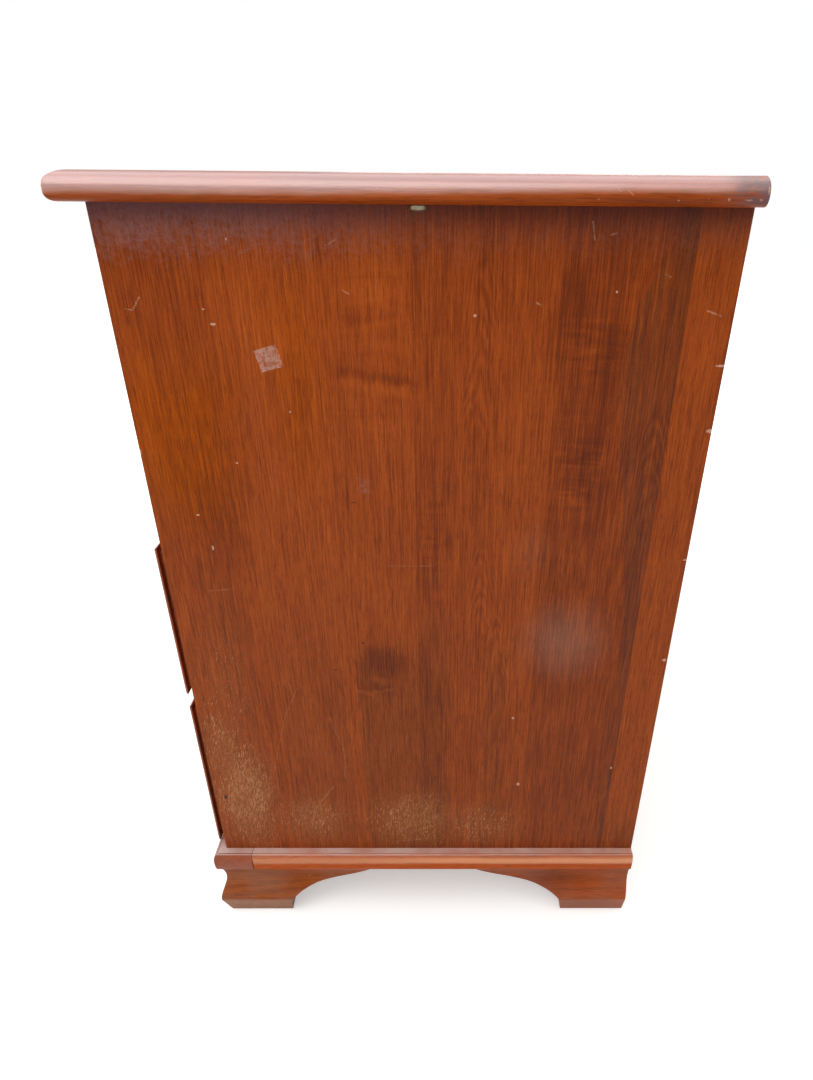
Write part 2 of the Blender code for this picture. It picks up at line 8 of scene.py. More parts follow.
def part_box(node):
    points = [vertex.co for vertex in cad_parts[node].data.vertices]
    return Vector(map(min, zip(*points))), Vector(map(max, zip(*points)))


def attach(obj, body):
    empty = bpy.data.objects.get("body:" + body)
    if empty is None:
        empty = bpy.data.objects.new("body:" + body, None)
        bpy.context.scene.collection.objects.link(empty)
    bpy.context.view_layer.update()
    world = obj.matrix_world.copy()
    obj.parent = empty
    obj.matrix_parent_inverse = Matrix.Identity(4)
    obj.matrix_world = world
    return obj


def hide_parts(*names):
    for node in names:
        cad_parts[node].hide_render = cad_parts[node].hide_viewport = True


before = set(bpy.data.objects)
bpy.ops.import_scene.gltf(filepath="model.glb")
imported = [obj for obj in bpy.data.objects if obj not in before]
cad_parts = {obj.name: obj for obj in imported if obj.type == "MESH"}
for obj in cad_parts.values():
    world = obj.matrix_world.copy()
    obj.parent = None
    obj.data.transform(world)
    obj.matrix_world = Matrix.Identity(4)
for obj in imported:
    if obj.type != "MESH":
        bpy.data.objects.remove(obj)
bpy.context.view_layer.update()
for leftover in ("Cube", "Light", "Camera"):
    if leftover in bpy.data.objects:
        bpy.data.objects.remove(bpy.data.objects[leftover], do_unlink=True)
print("frame loaded:", len(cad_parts), "solids")

scene = bpy.context.scene
scene.view_settings.view_transform = "Standard"

# Faces that the details line up with, read from the solids
panelLow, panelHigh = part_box("side_panel_right")
caseFront, caseBack = panelLow.y, panelHigh.y
halfCase = panelHigh.x
baseLow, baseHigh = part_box("base_front")
footHeight, ledgeHeight = baseLow.z, baseHigh.z
topLow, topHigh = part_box("top")
drawers = (1, 2, 3, 4)
sides = (("left", "Left", -1), ("right", "Right", 1))


def newObject(name, data):
    made = bpy.data.objects.new(name, data)
    scene.collection.objects.link(made)
    return made


def newMesh(name, work):
    mesh = bpy.data.meshes.new(name)
    work.to_mesh(mesh)
    work.free()
    return mesh


# ---- camera

cameraSet = {
    "place": (1.0299, 0.0340, 0.7560),
    "turnDegrees": -0.677,
    "downDegrees": 32.202,
    "rollDegrees": 0.506,
    "focalPixels": 733.9,
    "centrePixels": (451.5, 662.1),
    "framePixels": (813, 1080),
}


def makeCamera(size):
    turn, down, roll = (math.radians(size[key]) for key in ("turnDegrees", "downDegrees", "rollDegrees"))
    forward = Vector((-math.cos(turn) * math.cos(down), -math.sin(turn) * math.cos(down), -math.sin(down)))
    level = forward.cross(Vector((0, 0, 1))).normalized()
    upright = level.cross(forward)
    right = level * math.cos(roll) + upright * math.sin(roll)
    up = upright * math.cos(roll) - level * math.sin(roll)
    data = bpy.data.cameras.new("photoCamera")
    wide, high = size["framePixels"]
    data.sensor_fit = "AUTO"
    data.sensor_width = 36.0
    data.lens = size["focalPixels"] * data.sensor_width / high
    data.shift_x = (wide / 2 - size["centrePixels"][0]) / high
    data.shift_y = (size["centrePixels"][1] - high / 2) / high
    data.clip_start, data.clip_end = 0.01, 60.0
    scene.camera = newObject("photoCamera", data)
    axes = Matrix((right, up, -forward)).transposed()
    scene.camera.matrix_world = Matrix.Translation(size["place"]) @ axes.to_4x4()


makeCamera(cameraSet)


# ---- node trees in short words

class Value:
    # What a node gives, so that sums of it can be written out.
    def __init__(self, t, socket):
        self.t, self.socket = t, socket
        self.combine = t.vector if socket.type == "VECTOR" else t.math

    def __add__(self, other):
        return self.combine("ADD", self, other)

    def __sub__(self, other):
        return self.combine("SUBTRACT", self, other)

    def __rsub__(self, other):
        return self.combine("SUBTRACT", other, self)

    def __mul__(self, other):
        return self.combine("MULTIPLY", self, other)

    def __truediv__(self, other):
        return self.combine("DIVIDE", self, other)

    def __abs__(self):
        return self.combine("ABSOLUTE", self)

    def __gt__(self, other):
        return self.combine("GREATER_THAN", self, other)

    def __lt__(self, other):
        return self.combine("LESS_THAN", self, other)

    def along(self, *way):
        return self.t.vector("DOT_PRODUCT", self, way if len(way) == 3 else way[0])

    def scaled(self, factor, start):
        return self.t.math("MULTIPLY_ADD", self, factor, start)

    def clamped(self):
        self.socket.node.use_clamp = True
        return self


class Tree:
    def __init__(self, tree):
        self.tree = tree

    def node(self, kind, inputs=None, **settings):
        made = self.tree.nodes.new(kind)
        for key, value in settings.items():
            setattr(made, key, value)
        self.wire(made, inputs or {})
        return made

    def out(self, kind, inputs=None, output=0, **settings):
        return Value(self, self.node(kind, inputs, **settings).outputs[output])

    def wire(self, node, inputs):
        for key, value in inputs.items():
            value = value.socket if isinstance(value, Value) else value
            if isinstance(value, bpy.types.NodeSocket):
                self.tree.links.new(value, node.inputs[key])
            elif value is not None:
                node.inputs[key].default_value = value

    def math(self, operation, *values):
        return self.out("ShaderNodeMath", dict(enumerate(values)), operation=operation)

    def vector(self, operation, first, second=None, scale=None):
        output = "Value" if operation in ("LENGTH", "DOT_PRODUCT") else "Vector"
        return self.out("ShaderNodeVectorMath", {0: first, 1: second, "Scale": scale}, output, operation=operation)

    def split(self, place):
        return [Value(self, part) for part in self.node("ShaderNodeSeparateXYZ", {0: place}).outputs]

    def join(self, x, y, z=0.0):
        return self.out("ShaderNodeCombineXYZ", {0: x, 1: y, 2: z})

    def place(self):
        return self.out("ShaderNodeTexCoord", output="Object")

    def normal(self):
        return self.out("ShaderNodeNewGeometry", output="Normal")

    def noise(self, place, stretch, detail=2.0, roughness=0.5, distortion=0.0):
        stretched = place * (stretch if isinstance(stretch, tuple) else (stretch, stretch, stretch))
        return self.out("ShaderNodeTexNoise", {"Vector": stretched, "Scale": 1.0, "Detail": detail,
                                               "Roughness": roughness, "Distortion": distortion})

    def cloud(self, *settings):
        return self.noise(self.place(), *settings)

    def between(self, value, low, high, toLow=0.0, toHigh=1.0, kind="SMOOTHSTEP"):
        inputs = {0: value, 1: low, 2: high, 3: toLow, 4: toHigh}
        return self.out("ShaderNodeMapRange", inputs, interpolation_type=kind)

    def ramp(self, factor, spots, colours):
        made = self.node("ShaderNodeValToRGB", {0: factor})
        elements = made.color_ramp.elements
        while len(elements) < len(spots):
            elements.new(0.5)
        for element, spot, colour in zip(elements, spots, colours):
            element.position, element.color = spot, (*colour, 1.0)
        return Value(self, made.outputs[0])

    def steps(self, value, starts, levels):
        # A level for every stretch between the starts.
        level = levels[0]
        for start, before, after in zip(starts, levels, levels[1:]):
            level = (value > start).scaled(after - before, level)
        return level

    def slopes(self, value, stops):
        # Straight lines from stop to stop, each stop a value and its level.
        level = stops[0][1]
        for (low, before), (high, after) in zip(stops, stops[1:]):
            level = self.math("ADD", level, self.between(value, low, high, 0.0, after - before, "LINEAR"))
        return level

    def mix(self, factor, first, second, blend="MIX"):
        sides = [(*side, 1.0) if isinstance(side, tuple) else side for side in (first, second)]
        inputs = {0: factor, 6: sides[0], 7: sides[1]}
        return self.out("ShaderNodeMix", inputs, 2, data_type="RGBA", blend_type=blend)

    def tint(self, factor, colour, change):
        return self.mix(factor, colour, change, "MULTIPLY")

    def use(self, group, **given):
        made = self.node("ShaderNodeGroup", given, node_tree=group)
        return {socket.name: Value(self, socket) for socket in made.outputs}

    def extreme(self, operation, values):
        whole = values[0]
        for value in values[1:]:
            whole = self.math(operation, whole, value)
        return whole

    def seen(self):
        # 1 for what the camera sees, in a reflection too, and 0 for what lights the scene.
        rays = self.node("ShaderNodeLightPath").outputs
        others = self.math("MAXIMUM", rays["Is Glossy Ray"], rays["Is Transmission Ray"])
        return self.math("MAXIMUM", rays["Is Camera Ray"], others)

    def marks(self, group, place, rows):
        # Each mark takes the mask of the marks before it, so that a chain of them stays light.
        mask = 0.0
        for row in rows:
            mask = self.use(group, Before=mask, Place=place, **row)["Mask"]
        return mask

    def scratches(self, place, routes):
        return self.marks(scratchMark, place, [{"From": (*start, 0), "To": (*end, 0), "Width": width}
                                               for route, width in routes for start, end in zip(route, route[1:])])

    def spots(self, place, places, soft=0.9):
        # Each place is (across, high, half width, half height), then its own softness and strength if given.
        filled = [given if len(given) == 6 else (*given, soft, 1.0) for given in places]
        return self.marks(spotMark, place, [{"Centre": (across, high, 0), "Reach": (wide, tall, 1), "Soft": ownSoft,
                                             "Strength": strength}
                                            for across, high, wide, tall, ownSoft, strength in filled])

    def strips(self, place, places):
        # Each place is (from, to, low, high, softness across, softness along, strength).
        return self.marks(stripMark, place, [{"Centre": ((start + end) / 2, (low + high) / 2, 0),
                                              "Reach": ((end - start) / 2, (high - low) / 2, 1),
                                              "Soft": (softAcross, softAlong, 1), "Strength": strength}
                                             for start, end, low, high, softAcross, softAlong, strength in places])


def makeGroup(name, takes, gives, draw):
    # A starred input is a vector, the others are numbers.
    tree = bpy.data.node_groups.new(name, "ShaderNodeTree")
    for label in takes.split():
        kind = "NodeSocketVector" if label.endswith("*") else "NodeSocketFloat"
        tree.interface.new_socket(name=label.strip("*"), in_out="INPUT", socket_type=kind)
    for label in gives.split():
        tree.interface.new_socket(name=label, in_out="OUTPUT", socket_type="NodeSocketFloat")
    t = Tree(tree)
    given = {socket.name: Value(t, socket) for socket in t.node("NodeGroupInput").outputs if socket.name}
    made = draw(t, given)
    if "Before" in given:  # a mark, laid over those before it
        made = (t.math("MAXIMUM", given["Before"], made[0]),)
    t.node("NodeGroupOutput", dict(zip(gives.split(), made)))
    return tree


def drawGrain(t, given):
    # Wood figure for a place whose Z runs along the grain, in metres.
    bend = t.noise(given["Place"], (7, 7, 1.6)) - 0.5
    bent = given["Place"] + t.join(bend * 0.022, 0.0)
    broad = t.noise(bent, (30, 30, 1.5))
    contour = t.math("PINGPONG", t.noise(bent, (17, 17, 1.9), 1.0, 0.4, 0.25) * 11.0, 0.5)
    middle = t.noise(bent, (115, 115, 3.5), 3.0, 0.6)
    fine = t.noise(bent, (780, 780, 19), 3.0, 0.64)
    pores = t.between(t.noise(bent, (1000, 1000, 70), 1.0), 0.50, 0.70)
    tone = (broad - 0.5) * given["Broad"]
    tone = (middle - 0.5).scaled(given["Middle"], tone)
    tone = (fine - 0.5).scaled(given["Fine"], tone)
    tone = t.between(contour, 0.04, 0.46, -0.5, 0.5).scaled(given["Figure"], tone)
    return (tone + 0.5).clamped(), pores, fine * 0.7 - pores * 0.45


def drawScratch(t, given):
    run, away = given["To"] - given["From"], given["Place"] - given["From"]
    share = (away.along(run) / run.along(run)).clamped()
    beside = t.vector("LENGTH", away - t.vector("SCALE", run, scale=share))
    return (t.between(beside / given["Width"], 0.35, 1.0, 1.0, 0.0),)


def drawSpot(t, given):
    far = t.vector("LENGTH", (given["Place"] - given["Centre"]) / given["Reach"])
    return (t.between(far, 1.0 - given["Soft"], 1.0, given["Strength"], 0.0),)


def drawStrip(t, given):
    # A stretch of a board, soft by one width across the grain and by another along it.
    over = (abs(given["Place"] - given["Centre"]) - given["Reach"]) / given["Soft"]
    across = t.between(over.along(1, 0, 0), -1.0, 0.0, given["Strength"], 0.0)
    return (across * t.between(over.along(0, 1, 0), -1.0, 0.0, 1.0, 0.0),)


def drawSpecks(t, given):
    # Small scattered spots where the finish is chipped; More is the share of cells that hold one.
    cells = t.node("ShaderNodeTexVoronoi", {"Vector": given["Place"], "Scale": given["Cells"]}).outputs
    near = t.between(cells["Distance"], 0.05, 0.14, 1.0, 0.0)
    pick, size = [Value(t, part) for part in t.node("ShaderNodeSeparateColor", {0: cells["Color"]}).outputs[:2]]
    return (near * (pick < given["More"]) * size,)


woodGrain = makeGroup("woodGrain", "Place* Figure Broad Middle Fine", "Tone Pores Height", drawGrain)
scratchMark = makeGroup("scratchMark", "Before Place* From* To* Width", "Mask", drawScratch)
spotMark = makeGroup("spotMark", "Before Place* Centre* Reach* Soft Strength", "Mask", drawSpot)
stripMark = makeGroup("stripMark", "Before Place* Centre* Reach* Soft* Strength", "Mask", drawStrip)
finishSpecks = makeGroup("finishSpecks", "Place* Cells More", "Mask", drawSpecks)


# ---- finishes

def grainPlace(t, along, seed):
    x, y, z = t.split(t.place())
    turned = {"x": (y, z, x), "y": (x, z, y), "z": (x, y, z)}[along]
    return t.join(*turned) + (seed * 1.37, seed * 2.11, seed * 3.73)


def newMaterial(name):
    material = bpy.data.materials.new(name)
    material.use_nodes = True
    t = Tree(material.node_tree)
    return material, t, t.tree.nodes["Principled BSDF"]


def finishShader(t, shader, colour, roughness, height, depth, gloss):
    bump = t.out("ShaderNodeBump", {"Strength": 0.5, "Distance": depth, "Height": height})
    t.wire(shader, {"Base Color": colour, "Roughness": roughness, "Normal": bump, "Specular IOR Level": gloss})


cherryLook = {
    "darkest": (0.095, 0.0150, 0.0020),
    "dark": (0.185, 0.0290, 0.0025),
    "middle": (0.280, 0.0465, 0.0034),
    "light": (0.350, 0.0620, 0.0050),
    "lightest": (0.440, 0.0900, 0.0120),
    "worn": (0.480, 0.2300, 0.1150),
    "chip": (0.700, 0.4300, 0.3000),
    "haze": (0.300, 0.1600, 0.1200),
    # dust also paints the pale reflection on faces that look up
    "dust": (0.620, 0.4900, 0.4500),
    "toe": (0.350, 0.1800, 0.0950),
    # Painted highlight colours: the sheen and band on the top's edge, the swell on the base moulding
    "sheen": (0.660, 0.5000, 0.5500),
    "band": (0.760, 0.4000, 0.3000),
    "swell": (0.800, 0.3050, 0.1050),
    "stain": (0.110, 0.0950, 0.1150),
}


# Marks at fixed places, as depths (y) and heights (z) in metres
topMarks = {
    # Where the painted sheen and the gloss start, from this depth to that and from this height to that
    "sheenLine": (-0.05, 0.16, 0.7598, 0.7629),
    "sheenSoftness": (-0.0034, 0.0022),
    # Heights of the painted highlight band
    "bandHeights": (0.7680, 0.7645),
    "stainDepths": (0.222, 0.246),
    "stainWidth": 0.04,
    # Nicks along the right edge as (y, z, half width, half height), and scratches
    "nicks": (
        (0.2530, 0.7573, 0.0016, 0.0008), (0.2445, 0.7572, 0.0034, 0.0004), (0.2305, 0.7576, 0.0011, 0.0010),
        (0.1955, 0.7568, 0.0010, 0.0006), (0.1400, 0.7573, 0.0008, 0.0005), (0.2572, 0.7630, 0.0010, 0.0030),
    ),
    "scratches": ((((0.1600, 0.7625), (0.1640, 0.7595)), 0.0003), (((0.1530, 0.7635), (0.1550, 0.7615)), 0.0003)),
}
mouldingMarks = {
    # Heights and depths of the painted highlight along the base moulding's swell
    "polishedHeight": 0.0930,
    "polishedReach": (0.001, 0.006),
    # The painted highlight is stronger from this depth to that
    "rubbed": (-0.10, 0.07, 0.62, 1.25),
    "dullHeights": (0.0865, 0.0905),
}
footMarks = {
    "arrisHeights": (0.0285, 0.0245),
    "dustDepths": (-0.05, 0.10),
    "frontDepths": (0.0, -0.08),
    "rearShade": ((0.168, 0.052, 0.050, 0.026, 0.9, 0.9),),
}


def cherryRamp(t, tone):
    names = ("darkest", "dark", "middle", "light", "lightest")
    return t.ramp(tone, (0.0, 0.3, 0.5, 0.7, 1.0), [cherryLook[name] for name in names])


def wornEdges(t, seed, share):
    # The eased edges are marked on their faces; the finish is rubbed off there in patches.
    marked = t.out("ShaderNodeAttribute", output="Fac", attribute_name="worn")
    patches = t.noise(t.place() + (seed, 0, 0), 55, 3.0, 0.65)
    return marked * t.between(patches, 0.62 - share * 0.5, 0.78 - share * 0.5)


def upFacingDustAndReflection(t, colour, smudge, dust):
    # Dust on faces that look up, which also paints the pale reflection that those faces show.
    upFacing = t.between(t.split(t.normal())[2], 0.8, 0.97) * t.between(smudge, 0.25, 0.65, 0.45, 1.0)
    grains = t.between(t.cloud(900, 2.0, 0.6), 0.35, 0.65, dust * 0.7, dust)
    return t.mix(upFacing * grains, colour, cherryLook["dust"])


def kickedToe(t, colour, dust):
    # The slope under a foot's arris is dusty and rubbed.
    _, y, height = t.split(t.place())
    kicked = t.cloud((160, 160, 260), 4.0, 0.7)
    under = t.between(height, *footMarks["arrisHeights"]) * t.between(kicked, 0.35, 0.65, 0.45, 1.0)
    under = under * t.between(y, *footMarks["dustDepths"], dust, dust * 0.25)
    colour = t.tint(t.between(y, *footMarks["frontDepths"]), colour, (1.03, 1.20, 1.12))
    colour = t.tint(t.spots(t.join(y, height), footMarks["rearShade"]), colour, (0.70, 0.68, 0.80))
    return t.mix(under, colour, cherryLook["toe"])


def paintedEdgeSheen(t, colour, smudge, sheen):
    # The upper part of the top's edge gets a painted sheen and a painted highlight band, and shines; the lower part is
    # dull, its colour painted warmer and less blue for its darker reflection.
    facing = t.split(t.normal())[2]
    x, y, z = t.split(t.place())
    wave = (t.cloud((30, 30, 400), 3.0) - 0.5) * 0.0024
    above = z - t.between(y, *topMarks["sheenLine"], "LINEAR") + wave
    rearEnd = t.between(wave.scaled(8.0, y), *topMarks["stainDepths"])
    rearEnd = rearEnd * t.between(x, halfCase - topMarks["stainWidth"], halfCase)
    shine = t.between(above, *topMarks["sheenSoftness"]) * rearEnd.scaled(-0.45, 1.0)
    paintedSheenMask = shine * t.between(facing, 0.9, 0.99, 1.0, 0.25) * t.between(smudge, 0.25, 0.75, 0.75, 1.0)
    # Painted sheen and painted highlight band on the upper part of the edge
    colour = t.mix(paintedSheenMask * sheen, colour, cherryLook["sheen"])
    colour = t.mix(paintedSheenMask * t.between(z, *topMarks["bandHeights"], 0.0, 0.26), colour, cherryLook["band"])
    # Painted: warmer, less blue colour under the sheen, for the darker reflection there
    colour = t.tint(1.0 - shine, colour, (1.14, 1.14, 0.80))
    blotch = t.between(t.cloud((60, 60, 190), 3.0, 0.6), 0.40, 0.60, 0.15, 0.70)
    colour = t.mix(rearEnd * blotch, colour, cherryLook["stain"])
    ragged = (t.cloud(900, 2.0) - 0.5) * 0.002
    flat = t.join(y + ragged, z - ragged)
    nicks = t.extreme("MAXIMUM", [t.spots(flat, topMarks["nicks"], 0.5), t.scratches(flat, topMarks["scratches"])])
    colour = t.mix(nicks * (x > halfCase) * 0.42, colour, cherryLook["chip"])
    return colour, shine * t.between(facing, 0.9, 0.99, 1.0, 0.35)


def paintedSwellHighlight(t, colour, smudge, swell):
    # Painted highlight along the middle of the base moulding, which also shines there; under it the moulding is dull,
    # its colour painted warmer and less blue for its darker reflection.
    _, y, z = t.split(t.place())
    high = (smudge - 0.5).scaled(0.003, z)
    band = t.between(abs(high - mouldingMarks["polishedHeight"]), *mouldingMarks["polishedReach"], swell, 0.0)
    # Painted highlight along the swell
    colour = t.mix(band * t.between(y, *mouldingMarks["rubbed"]), colour, cherryLook["swell"])
    shine = t.between(high, *mouldingMarks["dullHeights"])
    # Painted: warmer, less blue colour under the highlight
    return t.tint(1.0 - shine, colour, (1.15, 0.95, 0.60)), shine


def cherry(name, along, seed, figure=0.16, tint=0.0, wear=0.25, haze=0.0, gloss=0.3, mitre=0.0, coat=0.0,
           dust=0.0, toeDust=0.0, fine=0.62, sheen=0.0, swell=0.0):
    # Stained and lacquered cherry; along is the way of the grain, mitre how far inside the
    # case's sides the grain turns along the ends.
    material, t, shader = newMaterial(name)
    place = grainPlace(t, along, seed)
    if mitre:
        x, y, _ = t.split(t.place())
        onEnd = abs(x) - halfCase > t.math("MAXIMUM", caseFront - y, -mitre)
        place = place + t.vector("SCALE", grainPlace(t, "y", seed) - place, scale=onEnd)
    grain = t.use(woodGrain, Place=place, Figure=figure, Broad=0.40, Middle=0.42, Fine=fine)
    cloud = (t.noise(place, (9, 9, 5)) - 0.5) * 0.35
    colour = cherryRamp(t, (grain["Tone"] + cloud + tint).clamped())
    colour = t.mix(grain["Pores"] * 0.45, colour, cherryLook["darkest"])
    smudge = t.cloud(14, 3.0, 0.6)
    colour = t.mix(t.between(smudge, 0.35, 0.75, 0.0, haze), colour, cherryLook["haze"])
    # Dust and a painted reflection on faces that look up
    if dust:
        colour = upFacingDustAndReflection(t, colour, smudge, dust)
    if toeDust:
        colour = kickedToe(t, colour, toeDust)
    specks = t.use(finishSpecks, Place=t.place(), Cells=95.0, More=0.10)["Mask"]
    colour = t.mix(specks * 0.6, colour, cherryLook["worn"])
    worn = wornEdges(t, seed, wear)
    colour = t.mix(worn * 0.7, colour, cherryLook["worn"])
    roughness = worn.scaled(0.25, t.between(smudge, 0.3, 0.75, 0.30, 0.46))
    # Painted sheen and highlight band on the top's edge
    if sheen:
        colour, shine = paintedEdgeSheen(t, colour, smudge, sheen)
    # Painted highlight along the base moulding's swell
    if swell:
        colour, shine = paintedSwellHighlight(t, colour, smudge, swell)
    if swell or toeDust:  # end grain, at the back
        colour = t.tint(t.between(t.normal().along(0, 1, 0), 0.80, 0.95), colour, (0.40, 0.42, 0.60))
    finishShader(t, shader, colour, roughness, specks.scaled(-0.6, grain["Height"]), 0.00025, gloss)
    if sheen or swell:
        t.wire(shader, {"Specular IOR Level": shine.scaled(gloss * 0.85, gloss * 0.15), "Coat Weight": shine * coat,
                        "Coat Roughness": 0.22})
    return material


def paleWood(name, along, seed, colours, figure=0.25, grime=0.35):
    material, t, shader = newMaterial(name)
    place = grainPlace(t, along, seed)
    grain = t.use(woodGrain, Place=place, Figure=figure, Broad=0.6, Middle=0.6, Fine=0.7)
    colour = t.ramp(grain["Tone"], (0.05, 0.5, 0.95), colours)
    stain = t.between(t.cloud(8, 4.0, 0.6), 0.42, 0.75, 0.0, grime)
    colour = t.mix(stain, colour, tuple(part * 0.42 for part in colours[0]))
    colour = t.mix(grain["Pores"] * 0.35, colour, colours[0])
    worn = wornEdges(t, seed, 0.2)
    colour = t.mix(worn * 0.4, colour, colours[2])
    finishShader(t, shader, colour, t.between(stain, 0.0, 0.4, 0.62, 0.75), grain["Height"], 0.0004, 0.25)
    return material


def metalFinish(name, bright, dark, seed, roughness=(0.26, 0.5), tarnish=0.6):
    material, t, shader = newMaterial(name)
    place = t.place() + (seed, seed, 0)
    cloud = t.noise(place, 70, 4.0, 0.6)
    fine = t.noise(place, 900, 2.0)
    age = t.between(cloud, 0.38, 0.68, 0.0, tarnish)
    colour = t.mix(age, bright, dark)
    colour = t.mix(t.between(fine, 0.6, 0.75, 0.0, 0.35), colour, dark)
    t.wire(shader, {"Metallic": 1.0})
    finishShader(t, shader, colour, t.between(age, 0.0, tarnish, *roughness), fine + cloud, 0.00012, 0.5)
    return material


